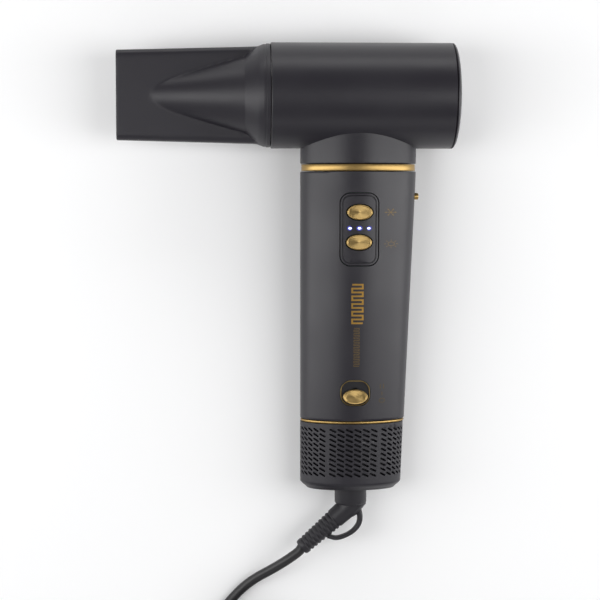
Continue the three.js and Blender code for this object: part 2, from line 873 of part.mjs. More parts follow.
const mountBottom = (ductTop + ductBottom - mountHeight) / 2;
const mountRadius = gripSection(mountBottom, shellWall + mountClearance).halfDepth;
const ductRadius = mountRadius - mountWall - gap;
const ductInside = ductRadius - ductWall;
const impellerTop = statorBottom - bearingHeight - 2 * impellerClearance;

function motorMount() {
  return tube(mountRadius, mountRadius - mountWall, mountBottom, mountBottom + mountHeight, 36);
}

function motorStator() {
  const core = [
    [bearingRadius + gap, statorBottom - bearingHeight],
    [bearingRadius + gap + bearingSeatWall, statorBottom - bearingHeight],
    [bearingRadius + gap + bearingSeatWall, statorBottom],
    [statorRadius, statorBottom],
    [statorRadius, statorTop],
    [bearingRadius + gap + bearingSeatWall, statorTop],
    [bearingRadius + gap + bearingSeatWall, statorTop + bearingHeight],
    [bearingRadius + gap, statorTop + bearingHeight],
    [bearingRadius + gap, statorTop],
    [rotorRadius + 2 * gap, statorTop],
    [rotorRadius + 2 * gap, statorBottom],
    [bearingRadius + gap, statorBottom],
    [bearingRadius + gap, statorBottom - bearingHeight],
  ];
  let stator = solidOf(turned(core, 16));
  const vaneReach = ductInside - gap;
  const height = statorTop - statorBottom;
  const length = vaneReach - statorRadius + vaneThickness;
  for (let i = 0; i < statorVanes; i++) {
    const middle = vaneReach - length / 2;
    const vane = block(length, height, vaneThickness, middle, statorBottom + height / 2);
    stator = stator.add(solidOf(vane.rotateY(i * 2 * Math.PI / statorVanes)));
  }
  return stator;
}

function rotorShaft() {
  const rotorStart = statorBottom + gap;
  const rotorEnd = statorTop - gap;
  return turned([
    [0, impellerTop - impellerHeight],
    [shaftRadius, impellerTop - impellerHeight],
    [shaftRadius, rotorStart],
    [rotorRadius, rotorStart],
    [rotorRadius, rotorEnd],
    [shaftRadius, rotorEnd],
    [shaftRadius, statorTop + bearingHeight + shaftStub],
    [0, statorTop + bearingHeight + shaftStub],
  ]);
}

function bearing(bottom) {
  return tube(bearingRadius, shaftRadius + gap, bottom, bottom + bearingHeight);
}

function impeller() {
  const bottom = impellerTop - impellerHeight;
  let wheel = solidOf(tube(impellerHubRadius, shaftRadius + gap, bottom, impellerTop));
  const reach = ductInside - impellerClearance;
  const length = reach - impellerHubRadius + shaftRadius;
  for (let i = 0; i < impellerBlades; i++) {
    const fin = block(length, impellerHeight, impellerBladeThickness);
    fin.rotateX(impellerBladeAngle * degree).translate(reach - length / 2, bottom + impellerHeight / 2, 0);
    wheel = wheel.add(solidOf(fin.rotateY(i * 2 * Math.PI / impellerBlades)));
  }
  return wheel.intersect(solidOf(disc(reach, bottom, impellerTop, 36)));
}

// ---- swivel and strain relief ----

// A cup for the collar, hung from four arms inside the foot of the grip.
function swivelSocket() {
  const outer = collarRadius + gap + socketWall;
  const bore = disc(collarRadius + gap, socketBottom - slack, collarTop + gap);
  const leadHole = disc(leadHoleRadius, socketBottom, socketTop + slack);
  const armHeight = 2;
  const foot = gripSection(gripBottom + armHeight, shellWall + gap);
  const armY = gripBottom + armHeight / 2 + gap;
  const armX = block(2 * foot.halfWidth, armHeight, socketArmWidth, foot.x, armY, 0);
  const armZ = block(socketArmWidth, armHeight, 2 * foot.halfDepth - 1, swivelX, armY, 0);
  const inside = oval([
    gripSection(gripBottom - slack, shellWall + gap),
    gripSection(gripTop, shellWall + gap),
  ]);
  return solidOf(disc(outer, socketBottom, socketTop + armHeight).translate(swivelX, 0, 0))
    .add(solidOf(armX).intersect(inside))
    .add(solidOf(armZ).intersect(inside))
    .subtract(solidOf(bore.translate(swivelX, 0, 0)))
    .subtract(solidOf(leadHole.translate(swivelX, 0, 0)));
}

const reliefAngle = reliefSlope * degree;
const reliefDirection = new THREE.Vector3(-Math.cos(reliefAngle), -Math.sin(reliefAngle), 0);

// Points down the middle of the hanging loop, in the plane of the strain relief.
const loopPoints = [
  [-1.2, -203], [0.6, -207.5], [1.3, -212], [0.3, -215.6], [-2.6, -218.8],
  [-6.6, -221], [-10.8, -222], [-15, -221],
];

// The strain relief and its loop, cut clear of the collar.
function cordBoot() {
  const collar = disc(collarRadius + gap, collarBottom - gap, collarTop, 32).translate(swivelX, 0, 0);
  const taper = turned([
    [0, 0],
    [reliefStartRadius, 0],
    [reliefEndRadius, reliefLength],
    [0, reliefLength],
  ], 20);
  const turn = new THREE.Quaternion().setFromUnitVectors(new THREE.Vector3(0, 1, 0), reliefDirection);
  taper.applyQuaternion(turn).translate(reliefStart[0], reliefStart[1], 0);
  const curve = new THREE.CatmullRomCurve3(loopPoints.map(([x, y]) => new THREE.Vector3(x, y, 0)));
  const strap = new THREE.Shape();
  strap.moveTo(-loopDepth / 2, -loopWidth / 2);
  strap.lineTo(loopDepth / 2, -loopWidth / 2);
  strap.lineTo(loopDepth / 2, loopWidth / 2);
  strap.lineTo(-loopDepth / 2, loopWidth / 2);
  const loop = new THREE.ExtrudeGeometry(strap, { steps: 20, extrudePath: curve, bevelEnabled: false });
  return solidOf(taper).add(solidOf(loop)).subtract(solidOf(collar));
}

// ---- cord, coil and plug ----

// The cord's route from the strain relief down to the surface and up to the coil.
const leadPoints = [
  [6.9, -143.3, 13.2], [2.6, -146.7, 12.4], [-2.5, -150.3, 10.7], [-8, -153.9, 8.3],
  [-13.8, -157.5, 5.7], [-19.4, -161.6, 3.6], [-24.6, -166.4, 2.6], [-29.3, -171.6, 2.5],
  [-31.3, -174, 2.6],
];
const plugLeadPoints = [
  [0.8, -245.6, 13.7], [4.5, -246.2, 13.4], [7.8, -247.2, 13.1], [11.4, -247.6, 13],
];

function cordAlong(points) {
  const curve = new THREE.CatmullRomCurve3(points.map(([x, y, z]) => new THREE.Vector3(x, y, z)));
  const steps = Math.ceil(curve.getLength() / (2 * cordDiameter));
  return rod(curve, cordDiameter / 2, Math.max(steps, 6), cordSides);
}

function cordCoil() {
  const inner = coilMeanRadius - coilWidth / 2;
  return tube(inner + coilWidth, inner, coilFloor, coilFloor + coilHeight, 40).rotateX(Math.PI / 2);
}

// A strap around one side of the coil.
function cordTie() {
  const width = coilWidth + 2 * (tieThickness + gap) + 1;
  const height = coilHeight + 2 * (tieThickness + gap);
  const hole = block(width - 2 * tieThickness, slack * 2, height - 2 * tieThickness);
  return solidOf(block(width, tieWidth, height)).subtract(solidOf(hole));
}

// A flat-sided two-pin plug that points along X, with its neck at the rear.
function plugBody() {
  const bodyShape = roundedRectangle(plugHeight, plugWidth, plugCorner);
  const body = new THREE.ExtrudeGeometry(bodyShape, {
    depth: plugLength - 2 * plugEdge,
    bevelSize: plugEdge,
    bevelThickness: plugEdge,
    bevelSegments: 1,
    bevelOffset: -plugEdge,
    curveSegments: 3,
  }).translate(0, 0, plugEdge).rotateY(Math.PI / 2).translate(plugNeckLength, 0, 0);
  const neck = turned([
    [0, 0],
    [plugNeckRadius - plugEdge, 0],
    [plugNeckRadius + plugNeckFlare, plugNeckLength + plugNeckFlare],
    [0, plugNeckLength + plugNeckFlare],
  ]).rotateZ(-Math.PI / 2);
  const front = plugNeckLength + plugLength;
  let plug = solidOf(body).add(solidOf(neck));
  for (const side of [-1, 1]) {
    const bore = disc(pinRadius + gap, front - pinRoot - 1, front + slack).rotateZ(-Math.PI / 2);
    const notch = disc(plugGripRadius, plugNeckLength + plugGripStart, front + slack).rotateZ(-Math.PI / 2);
    plug = plug.subtract(solidOf(bore.translate(0, side * pinSpacing / 2, 0)));
    plug = plug.subtract(solidOf(notch.translate(0, 0, side * (plugHeight / 2 + plugGripOut))));
  }
  return plug;
}

function plugPin() {
  const rounding = 1;
  return turned([
    [0, -pinRoot],
    [pinRadius, -pinRoot],
    [pinRadius, pinLength - rounding],
    [pinRadius - rounding, pinLength],
    [0, pinLength],
  ], 16).rotateZ(-Math.PI / 2);
}

// ---- assembly ----

const dryer = new THREE.Group();

const barrel = new THREE.Group();
place(barrel, 'barrel_shell', barrelShell(), softBlack());
place(barrel, 'rear_cover', rearCover(), softBlack());
place(barrel, 'outlet_ring', outletRing(), nozzleBlack());
place(barrel, 'outlet_grille', outletGrille(), nozzleBlack());
place(barrel, 'heater_sleeve', heaterSleeve(), mica());
place(barrel, 'heater_frame', heaterFrame(), mica());
place(barrel, 'heating_coil', heatingCoil(heatingWireRadius), resistanceWire());
place(barrel, 'thermal_cutout', thermalCutout(), aluminium(), ...cutoutAt, 0);
place(barrel, 'ion_generator', block(...ionBox), partWhite(), ...ionAt, 0);
dryer.add(barrel);

const nozzle = new THREE.Group();
place(nozzle, 'nozzle_shell', nozzleShell(), nozzleBlack());
place(nozzle, 'nozzle_magnet', nozzleMagnet(), magnetGrey(), nozzleBase, 0, 0);
dryer.add(nozzle);

const handle = new THREE.Group();
const neckRingTop = -neckLength - gap;
const neckRingBottom = gripTop + gap;
place(handle, 'neck_ring', hoop(neckRingBottom, neckRingTop, trimRingInset, trimRingWall), gold());
place(handle, 'grip_shell', gripShell(), softBlack());
const footRingTop = gripBottom - gap;
place(handle, 'foot_ring', hoop(footRingTop - footRingHeight, footRingTop, 0, footRingWall), gold());
place(handle, 'filter_cage', filterCage(), softBlack());
place(handle, 'filter_foot', filterFoot(), softBlack());
place(handle, 'filter_screen', filterScreen(), steel());
dryer.add(handle);

const controls = new THREE.Group();
place(controls, 'control_panel', controlPanel(), softBlack());
place(controls, 'cool_button', buttonKey(coolButtonAt), gold(),
  gripMiddle(coolButtonAt), coolButtonAt, panelFaceAt(coolButtonAt) + buttonProud);
place(controls, 'heat_button', buttonKey(heatButtonAt), gold(),
  gripMiddle(heatButtonAt), heatButtonAt, panelFaceAt(heatButtonAt) + buttonProud);
[-1, 0, 1].forEach((step, i) => {
  const lens = pulled(ovalShape(ledWidth, ledHeight), -ledLength, 0, 0, 0, 4);
  place(controls, `led_lens_${i + 1}`, lens, lampWhite(), panelX + step * ledSpacing, ledAt,
    panelFace - 0.05);
});
place(controls, 'control_board', controlBoard(), boardGreen(), panelX, panelCentre,
  boardFrontAt - boardThickness / 2);
screwSpots.forEach(([x, y], i) => {
  place(controls, `board_screw_${i + 1}`, boardScrew(), steel(), panelX + x, panelCentre + y,
    boardFrontAt - boardThickness - gap);
});
place(controls, 'cool_switch', pushSwitch(), partWhite(), gripMiddle(coolButtonAt), coolButtonAt,
  boardFrontAt + gap);
place(controls, 'heat_switch', pushSwitch(), partWhite(), gripMiddle(heatButtonAt), heatButtonAt,
  boardFrontAt + gap);
place(controls, 'slider_bezel', sliderBezel(), gold());
place(controls, 'power_slider', sliderKnob(), gold(), slotX, knobAt, slotLevel);
const slideSwitchTop = slotLevel + knobRimHeight - knobStemLength;
place(controls, 'slide_switch', block(...slideSwitchSize), partWhite(), slotX, slotCentre,
  slideSwitchTop - slideSwitchSize[2] / 2);
const powerBoardTop = slideSwitchTop - slideSwitchSize[2] - gap;
place(controls, 'power_board', block(...powerBoardSize), boardGreen(), slotX, slotCentre + powerBoardAbove,
  powerBoardTop - powerBoardSize[2] / 2);
place(controls, 'rear_button', rearKey(), gold(), rearKeyStart, rearButtonAt, 0);
place(controls, 'rear_switch', rearSwitch(), partWhite(),
  rearSwitchTop - switchHeight - plungerHeight, rearButtonAt, 0);
dryer.add(controls);

const blower = new THREE.Group();
blower.position.x = blowerAxisX;
place(blower, 'motor_duct', tube(ductRadius, ductInside, ductBottom, ductTop, 36), aluminium());
place(blower, 'motor_mount', motorMount(), rubberBlack());
place(blower, 'motor_stator', motorStator(), copper());
place(blower, 'rotor_shaft', rotorShaft(), steel());
place(blower, 'upper_bearing', bearing(statorTop + gap / 2), steel());
place(blower, 'lower_bearing', bearing(statorBottom - bearingHeight - gap / 2), steel());
place(blower, 'impeller', impeller(), aluminium());
dryer.add(blower);

const swivel = new THREE.Group();
place(swivel, 'swivel_socket', swivelSocket(), softBlack());
dryer.add(swivel);

// Lay the dryer down, with the middle of its footprint at the origin.
dryer.rotation.x = layTilt;
dryer.updateMatrixWorld(true);
const box = new THREE.Box3().setFromObject(dryer, true);
dryer.position.set(-(box.min.x + box.max.x) / 2, -(box.min.y + box.max.y) / 2, -box.min.z);
place(swivel, 'swivel_collar', disc(collarRadius, collarBottom, collarTop, 32), rubberBlack(), swivelX);
place(swivel, 'cord_boot', cordBoot(), rubberBlack());

const cordSet = new THREE.Group();
place(cordSet, 'cord', cordAlong(leadPoints), rubberBlack());
place(cordSet, 'cord_coil', cordCoil(), rubberBlack(), coilCentre[0], coilCentre[1], 0);
place(cordSet, 'cord_tie', cordTie(), rubberBlack(), coilCentre[0] - coilMeanRadius, coilCentre[1],
  coilFloor + coilHeight / 2);
place(cordSet, 'plug_lead', cordAlong(plugLeadPoints), rubberBlack());
place(cordSet, 'plug_body', plugBody(), rubberBlack(), plugRear[0], plugRear[1], plugHeight / 2);
[-1, 1].forEach((side, i) => {
  place(cordSet, `plug_pin_${i + 1}`, plugPin(), steel(), plugRear[0] + plugNeckLength + plugLength,
    plugRear[1] + side * pinSpacing / 2, plugHeight / 2);
});

const group = new THREE.Group();
group.add(dryer);
group.add(cordSet);

export default group;
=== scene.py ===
# Hair dryer with the blower in its handle, lying on its side with the controls up.
# Shapes are laid out in millimetres in the dryer's own frame: x along the barrel with the nozzle
# at -x, y up the handle with the barrel's axis at y = 0, z out of the side with the controls.
import json
import math

import bpy
from mathutils import Matrix, Vector
from mathutils.geometry import delaunay_2d_cdt


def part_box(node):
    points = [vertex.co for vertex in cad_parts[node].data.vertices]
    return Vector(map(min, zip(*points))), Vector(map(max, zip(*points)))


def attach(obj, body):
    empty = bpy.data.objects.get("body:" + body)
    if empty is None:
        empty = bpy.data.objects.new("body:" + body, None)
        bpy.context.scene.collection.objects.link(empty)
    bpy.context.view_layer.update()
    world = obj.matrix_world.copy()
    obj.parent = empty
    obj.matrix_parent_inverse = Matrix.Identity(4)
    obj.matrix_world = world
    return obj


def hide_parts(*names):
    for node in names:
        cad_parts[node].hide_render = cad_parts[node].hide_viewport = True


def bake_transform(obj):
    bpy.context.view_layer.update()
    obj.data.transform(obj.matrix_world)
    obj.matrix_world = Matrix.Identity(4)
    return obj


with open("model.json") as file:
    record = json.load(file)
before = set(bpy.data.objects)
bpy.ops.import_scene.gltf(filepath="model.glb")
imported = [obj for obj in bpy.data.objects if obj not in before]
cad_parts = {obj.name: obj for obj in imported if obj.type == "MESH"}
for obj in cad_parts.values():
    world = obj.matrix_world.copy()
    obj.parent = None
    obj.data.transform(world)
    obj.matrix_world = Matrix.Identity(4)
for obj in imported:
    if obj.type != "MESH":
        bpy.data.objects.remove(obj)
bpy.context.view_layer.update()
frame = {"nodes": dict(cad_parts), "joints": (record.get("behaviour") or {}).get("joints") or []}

# Where the dryer's own frame lies: up the handle, and the barrel's axis over the middle of
# the neck.
joints = {joint["name"]: joint for joint in frame["joints"]}
handleUp = Vector(joints["power_slide"]["axis"]).normalized()
barrelAxis = Vector(joints["nozzle_turn"]["pos_m"])
neckLow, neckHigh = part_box("neck_ring")
outward = Vector((1, 0, 0)).cross(handleUp)
layDown = (
    Matrix.Translation(((neckLow.x + neckHigh.x) / 2, barrelAxis.y, barrelAxis.z))
    @ Matrix(((1, 0, 0), handleUp, outward)).transposed().to_4x4()
    @ Matrix.Scale(0.001, 4)
)
onFloor = Matrix.Scale(0.001, 4)  # millimetres over the floor
full = 2 * math.pi
tip = 0.01  # radius that closes a turned shape on its axis
print("frame loaded, dryer placed")


# Shapes.


def mix(low, high, share):
    return low + (high - low) * share


def rawPiece(name, points, faces):
    mesh = bpy.data.meshes.new(name)
    mesh.from_pydata([tuple(point) for point in points], [], faces)
    mesh.validate()
    made = bpy.data.objects.new(name, mesh)
    bpy.context.scene.collection.objects.link(made)
    return made


# Skins a row of rings that all have the same number of points.
def skinRings(rings, closed=False):
    count = len(rings[0])
    points = [point for ring in rings for point in ring]
    faces = []
    pairs = len(rings) if closed else len(rings) - 1
    for row in range(pairs):
        low, high = row * count, (row + 1) % len(rings) * count
        for step in range(count):
            side = (step + 1) % count
            faces.append((low + step, low + side, high + side, high + step))
    if not closed:
        faces.append(tuple(reversed(range(count))))
        faces.append(tuple(range(len(points) - count, len(points))))
    return points, faces


# Angles round a full turn.
def turnsOf(steps):
    return [full * step / steps for step in range(steps)]


# Turns a profile of (along, radius) about the barrel's axis.
def turnAlongBarrel(profile, sides):
    ring = turnsOf(sides)
    return [[(along, radius * math.cos(a), radius * math.sin(a)) for a in ring]
            for along, radius in profile]


# Turns (height, radius) pairs about a line up the handle.
def turnAlongHandle(profile, centreX, sides):
    ring = turnsOf(sides)
    return [[(centreX + radius * math.cos(a), height, -radius * math.sin(a)) for a in ring]
            for height, radius in profile]


def ovalRing(section, sides):
    x, y, halfWidth, halfDepth = section
    return [(x + halfWidth * math.cos(a), y, -halfDepth * math.sin(a)) for a in turnsOf(sides)]


def settle(made):
    graph = bpy.context.evaluated_depsgraph_get()
    mesh = bpy.data.meshes.new_from_object(made.evaluated_get(graph))
    made.modifiers.clear()
    made.data = mesh
    return made


def combine(made, others, how="DIFFERENCE"):
    for other in others:
        change = made.modifiers.new("combine", "BOOLEAN")
        change.operation = how
        change.solver = "EXACT"
        change.object = other
        settle(made)
        bpy.data.objects.remove(other)
    return made


# Corners run round a rounded rectangle about (x, y).
def roundedLoop(x, y, width, height, corner, steps=8):
    loop = []
    corner = max(corner, 0.05)
    for quarter, (sideX, sideY) in enumerate(((1, 1), (-1, 1), (-1, -1), (1, -1))):
        for step in range(steps + 1):
            a = (quarter + step / steps) * math.pi / 2
            loop.append((
                x + sideX * (width / 2 - corner) + corner * math.cos(a),
                y + sideY * (height / 2 - corner) + corner * math.sin(a),
            ))
    return loop


def ovalLoop(x, y, width, height, steps=48):
    return [(x + width / 2 * math.cos(a), y + height / 2 * math.sin(a)) for a in turnsOf(steps)]


def isInside(x, y, loop):
    inside = False
    for (ax, ay), (bx, by) in zip(loop, loop[1:] + loop[:1]):
        if (ay > y) != (by > y) and x < ax + (y - ay) * (bx - ax) / (by - ay):
            inside = not inside
    return inside


# A sheet with holes, given thickness. outline and holes are functions of how far they are drawn
# in, shape(u, v, depth) puts a point in space, and edge is the size of the eased edge. The ends
# at the u values in skipWalls stay open, to be joined to the next sheet.
def cutSheet(outline, holes, shape, thickness, edge=0.2, spacing=2.5, skipWalls=()):
    loops = [outline(0)] + [hole(0) for hole in holes]
    eased = [outline(edge)] + [hole(-edge) for hole in holes] if edge else []
    flat, lines, drops = [], [], []
    for loop, drop in [(loop, edge) for loop in loops] + [(loop, 0) for loop in eased]:
        first = len(flat)
        flat += [Vector(point) for point in loop]
        drops += [drop] * len(loop)
        lines += [(first + i, first + (i + 1) % len(loop)) for i in range(len(loop))]
    columns = [point[0] for point in loops[0]]
    rows = [point[1] for point in loops[0]]
    near = [point.copy() for point in flat]
    u = min(columns) + spacing / 2
    while spacing and u < max(columns):
        v = min(rows) + spacing / 2
        while v < max(rows):
            clear = min((u - point.x) ** 2 + (v - point.y) ** 2 for point in near)
            free = isInside(u, v, loops[0]) and not any(isInside(u, v, h) for h in loops[1:])
            if free and clear > (spacing * 0.45) ** 2:  # not too close to an outline
                flat.append(Vector((u, v)))
                drops.append(0)
            v += spacing
        u += spacing
    made, _, triangles, origins, _, _ = delaunay_2d_cdt(flat, lines, [], 0, 1e-5)
    kept = []
    for corners in triangles:
        u = sum(made[i].x for i in corners) / 3
        v = sum(made[i].y for i in corners) / 3
        if isInside(u, v, loops[0]) and not any(isInside(u, v, hole) for hole in loops[1:]):
            kept.append(tuple(corners))
    count = len(made)
    lowered = [min((drops[i] for i in origin), default=0) for origin in origins]
    points = [shape(p.x, p.y, drop) for p, drop in zip(made, lowered)]
    points += [shape(p.x, p.y, thickness) for p in made]
    faces = kept + [tuple(i + count for i in reversed(corners)) for corners in kept]
    edges = {}
    for corners in kept:
        for a, b in zip(corners, corners[1:] + corners[:1]):
            edges[(a, b)] = True
    for a, b in list(edges):
        if (b, a) not in edges:
            atEnd = any(abs(made[a].x - at) < 1e-3 and abs(made[b].x - at) < 1e-3
                        for at in skipWalls)
            if not atEnd:
                faces.append((b, a, a + count, b + count))
    return points, faces


# A closed tube of round rings along a route, with a radius for each point.
def tubeRings(route, radii, sides):
    rings = []
    side = None
    for i, spot in enumerate(route):
        ahead = (route[min(i + 1, len(route) - 1)] - route[max(i - 1, 0)]).normalized()
        if side is None:
            side = ahead.cross(Vector((0, 0, 1))).normalized()
        side = (side - ahead * side.dot(ahead)).normalized()
        up = ahead.cross(side)
        rings.append([spot + (side * math.cos(a) + up * math.sin(a)) * radii[i]
                      for a in turnsOf(sides)])
    return rings


# A smooth route through points, about so far apart.
def smoothRoute(points, spacing):
    points = [Vector(point) for point in points]
    padded = [2 * points[0] - points[1]] + points + [2 * points[-1] - points[-2]]
    route = []
    for a, b, c, d in zip(padded, padded[1:], padded[2:], padded[3:]):
        steps = max(1, round((c - b).length / spacing))
        for step in range(steps):
            t = step / steps
            route.append(0.5 * (
                2 * b + (c - a) * t + (2 * a - 5 * b + 4 * c - d) * t * t
                + (3 * b - a - 3 * c + d) * t ** 3
            ))
    route.append(points[-1])
    return route


# Gives a piece its place, finish and body. where lays it down from millimetres.
def finishPiece(made, look, body, stands, slot, sharp=35, where=layDown):
    made.data.transform(where)
    made.data.materials.clear()
    made.data.materials.append(look)
    made.data.shade_smooth()
    made.data.set_sharp_from_angle(angle=math.radians(sharp))
    if body:
        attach(made, body)
    if stands:
        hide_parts(*stands)
    return made


# The same for a piece that is made from points and faces.
def addPiece(name, shape, *how, **more):
    return finishPiece(rawPiece(name, *shape), *how, **more)


# Finishes.


def newFinish(name, **settings):
    made = bpy.data.materials.new(name)
    made.use_nodes = True
    tree = made.node_tree
    tree.nodes.clear()
    shader = tree.nodes.new("ShaderNodeBsdfPrincipled")
    output = tree.nodes.new("ShaderNodeOutputMaterial")
    tree.links.new(shader.outputs["BSDF"], output.inputs["Surface"])
    for socket, value in settings.items():
        shader.inputs[socket].default_value = value
    return made, tree, shader


def node(tree, kind, inputs=None, **settings):
    made = tree.nodes.new("ShaderNode" + kind)
    for name, value in settings.items():
        setattr(made, name, value)
    for name, value in (inputs or {}).items():
        if isinstance(value, bpy.types.NodeSocket):
            tree.links.new(value, made.inputs[name])
        else:
            made.inputs[name].default_value = value
    return made


def tones(colour, spread):
    return [(*[min(1, part * (1 + way * spread)) for part in colour], 1) for way in (-1, 1)]


# Colour, gloss and fine relief that wander a little. Scales are in waves per metre.
def wander(tree, shader, colour, spread, gloss, glossSpread, patch, grain, relief, where=None):
    if where is None:
        where = node(tree, "TexCoord").outputs["Object"]
    broad = node(tree, "TexNoise", {"Vector": where, "Scale": patch, "Detail": 3.0})
    fine = node(tree, "TexNoise", {"Vector": where, "Scale": grain, "Detail": 2.0})
    dark, light = tones(colour, spread)
    tint = node(tree, "Mix", {"Factor": broad.outputs["Fac"]}, data_type="RGBA")
    tint.inputs[6].default_value, tint.inputs[7].default_value = dark, light
    tree.links.new(tint.outputs[2], shader.inputs["Base Color"])
    dull = node(tree, "MapRange", {"Value": broad.outputs["Fac"], "From Min": 0.3, "From Max": 0.7,
                "To Min": gloss - glossSpread, "To Max": gloss + glossSpread})
    tree.links.new(dull.outputs["Result"], shader.inputs["Roughness"])
    bump = node(tree, "Bump", {"Height": fine.outputs["Fac"], "Strength": relief,
                "Distance": 0.0002})
    tree.links.new(bump.outputs["Normal"], shader.inputs["Normal"])
    return tint, bump


def plasticFinish(name, colour, gloss, spread=0.08, patch=35, grain=2600, relief=0.12, **settings):
    made, tree, shader = newFinish(name, **settings)
    wander(tree, shader, colour, spread, gloss, 0.035, patch, grain, relief)
    return made


def metalFinish(name, colour, gloss, spread=0.05, patch=60, grain=900, relief=0.05, stretch=None):
    made, tree, shader = newFinish(name, Metallic=1.0)
    where = None
    if stretch:
        place = node(tree, "TexCoord")
        drawn = node(tree, "Mapping", {"Vector": place.outputs["Object"], "Scale": stretch})
        where = drawn.outputs["Vector"]
    wander(tree, shader, colour, spread, gloss, 0.04, patch, grain, relief, where)
    return made


# Gold turned on a spindle: fine rings from the "spin" coordinates, and a highlight that fans out.
def spunGoldFinish(name, colour, gloss):
    made, tree, shader = newFinish(name, Metallic=1.0, Anisotropic=0.75)
    spin = node(tree, "UVMap", uv_map="spin")
    rings = node(tree, "Mapping", {"Vector": spin.outputs["UV"], "Scale": (0.6, 1.0, 1.0)})
    wander(tree, shader, colour, 0.1, gloss, 0.04, 5, 70, 0.12, rings.outputs["Vector"])
    around = node(tree, "Tangent", direction_type="UV_MAP", uv_map="spin")
    tree.links.new(around.outputs["Tangent"], shader.inputs["Tangent"])
    return made


# Bright in the middle of a lamp and bluer towards its rim, from the "spin" coordinates. The
# painted glow round the lamps uses it too.
def lampFinish(name, middle, rim, strength):
    made, tree, shader = newFinish(name, Roughness=0.25)
    shader.inputs["Base Color"].default_value = (*middle, 1)
    spin = node(tree, "UVMap", uv_map="spin")
    across = node(tree, "SeparateXYZ", {"Vector": spin.outputs["UV"]})
    ramp = node(tree, "ValToRGB", {"Fac": across.outputs["Y"]})
    ramp.color_ramp.elements[0].color = (*middle, 1)
    ramp.color_ramp.elements[0].position = 0.35
    ramp.color_ramp.elements[1].color = (*rim, 1)
    tree.links.new(ramp.outputs["Color"], shader.inputs["Emission Color"])
    shader.inputs["Emission Strength"].default_value = strength
    return made


def wovenFinish(name, colour, gap, scale):
    made, tree, shader = newFinish(name, Roughness=0.5, Metallic=0.6)
    place = node(tree, "TexCoord")
    weave = node(tree, "TexBrick", {"Vector": place.outputs["Object"], "Scale": scale,
                 "Color1": (*colour, 1), "Color2": (*[part * 0.7 for part in colour], 1),
                 "Mortar": (*gap, 1), "Mortar Size": 0.03})
    tree.links.new(weave.outputs["Color"], shader.inputs["Base Color"])
    bump = node(tree, "Bump", {"Height": weave.outputs["Fac"], "Strength": 0.4,
                "Distance": 0.0002})
    bump.invert = True
    tree.links.new(bump.outputs["Normal"], shader.inputs["Normal"])
    return made


def boardFinish(name, lacquer, track):
    made, tree, shader = newFinish(name, Roughness=0.35)
    place = node(tree, "TexCoord")
    cells = node(tree, "TexVoronoi", {"Vector": place.outputs["Object"], "Scale": 450.0},
                 feature="DISTANCE_TO_EDGE", distance="MANHATTAN")
    ramp = node(tree, "ValToRGB", {"Fac": cells.outputs["Distance"]})
    ramp.color_ramp.elements[0].color = (*track, 1)
    ramp.color_ramp.elements[1].color = (*lacquer, 1)
    ramp.color_ramp.elements[1].position = 0.09
    tree.links.new(ramp.outputs["Color"], shader.inputs["Base Color"])
    return made


softBlack = plasticFinish("softBlack", (0.0098, 0.0082, 0.0134), 0.39, **{"Sheen Weight": 0.04,
                       "Sheen Roughness": 0.5, "Specular IOR Level": 0.5})
nozzleBlack = plasticFinish("nozzleBlack", (0.0108, 0.0092, 0.0144), 0.44, grain=2100, relief=0.18)
cageBlack = plasticFinish("cageBlack", (0.0112, 0.0098, 0.015), 0.42, grain=3000)
# Painted shade: a black darker than the shell, for sheets in recesses where shade falls.
paintedRecessShade = plasticFinish("paintedRecessShade", (0.006, 0.0055, 0.008), 0.35)
rubber = plasticFinish("bootRubber", (0.0118, 0.0106, 0.0145), 0.48, grain=1700, relief=0.25)
cordRubber = plasticFinish("cordRubber", (0.014, 0.0135, 0.0148), 0.42, patch=20, grain=1200)
polishedGold = metalFinish("polishedGold", (0.37, 0.245, 0.09), 0.34, stretch=(1.0, 6.0, 1.0))
frameGold = metalFinish("frameGold", (0.25, 0.185, 0.085), 0.4)
printedGold = metalFinish("printedGold", (0.34, 0.2, 0.05), 0.45, grain=3000, relief=0.2)
paleGold = metalFinish("paleGold", (0.15, 0.105, 0.05), 0.5, grain=3000, relief=0.2)
faintGold = metalFinish("faintGold", (0.08, 0.062, 0.036), 0.5, grain=3000, relief=0.2)
spunGold = spunGoldFinish("spunGold", (0.42, 0.29, 0.115), 0.34)
lampWhite = lampFinish("lampWhite", (0.86, 0.9, 1.0), (0.35, 0.4, 1.0), 1.9)
# Painted light: a faint blue glow on the panel round each lamp, on a piece that is no lamp.
paintedLampGlow = lampFinish("paintedLampGlow", (0.05, 0.055, 0.3), (0.012, 0.012, 0.06), 1.0)
steel = metalFinish("turnedSteel", (0.6, 0.61, 0.62), 0.28, stretch=(1.0, 8.0, 1.0))
aluminium = metalFinish("castAluminium", (0.55, 0.56, 0.57), 0.4, relief=0.15)
copper = metalFinish("copperWinding", (0.5, 0.24, 0.12), 0.4, grain=1800, stretch=(1.0, 9.0, 1.0),
                     relief=0.5)
magnetGrey = metalFinish("magnetGrey", (0.13, 0.133, 0.14), 0.35, relief=0.12)
wireGrey = metalFinish("resistanceWire", (0.3, 0.28, 0.25), 0.45, spread=0.25, patch=140)
micaSheet = plasticFinish("micaSheet", (0.48, 0.39, 0.22), 0.6, spread=0.3, patch=260, grain=900,
                          relief=0.35)
whiteMoulding = plasticFinish("whiteMoulding", (0.7, 0.69, 0.66), 0.45, spread=0.03)
boardGreen = boardFinish("boardGreen", (0.012, 0.11, 0.045), (0.05, 0.2, 0.09))
screenMesh = wovenFinish("screenMesh", (0.035, 0.034, 0.04), (0.003, 0.003, 0.004), 1800.0)
print("finishes made")

# Camera.

# Nearly overhead, a little to the nozzle's side and above the barrel.
viewpoint = {"from": (-66, -46, 800), "aim": (-28.95, -101.5, 0), "lens": 96.35, "sensor": 36}

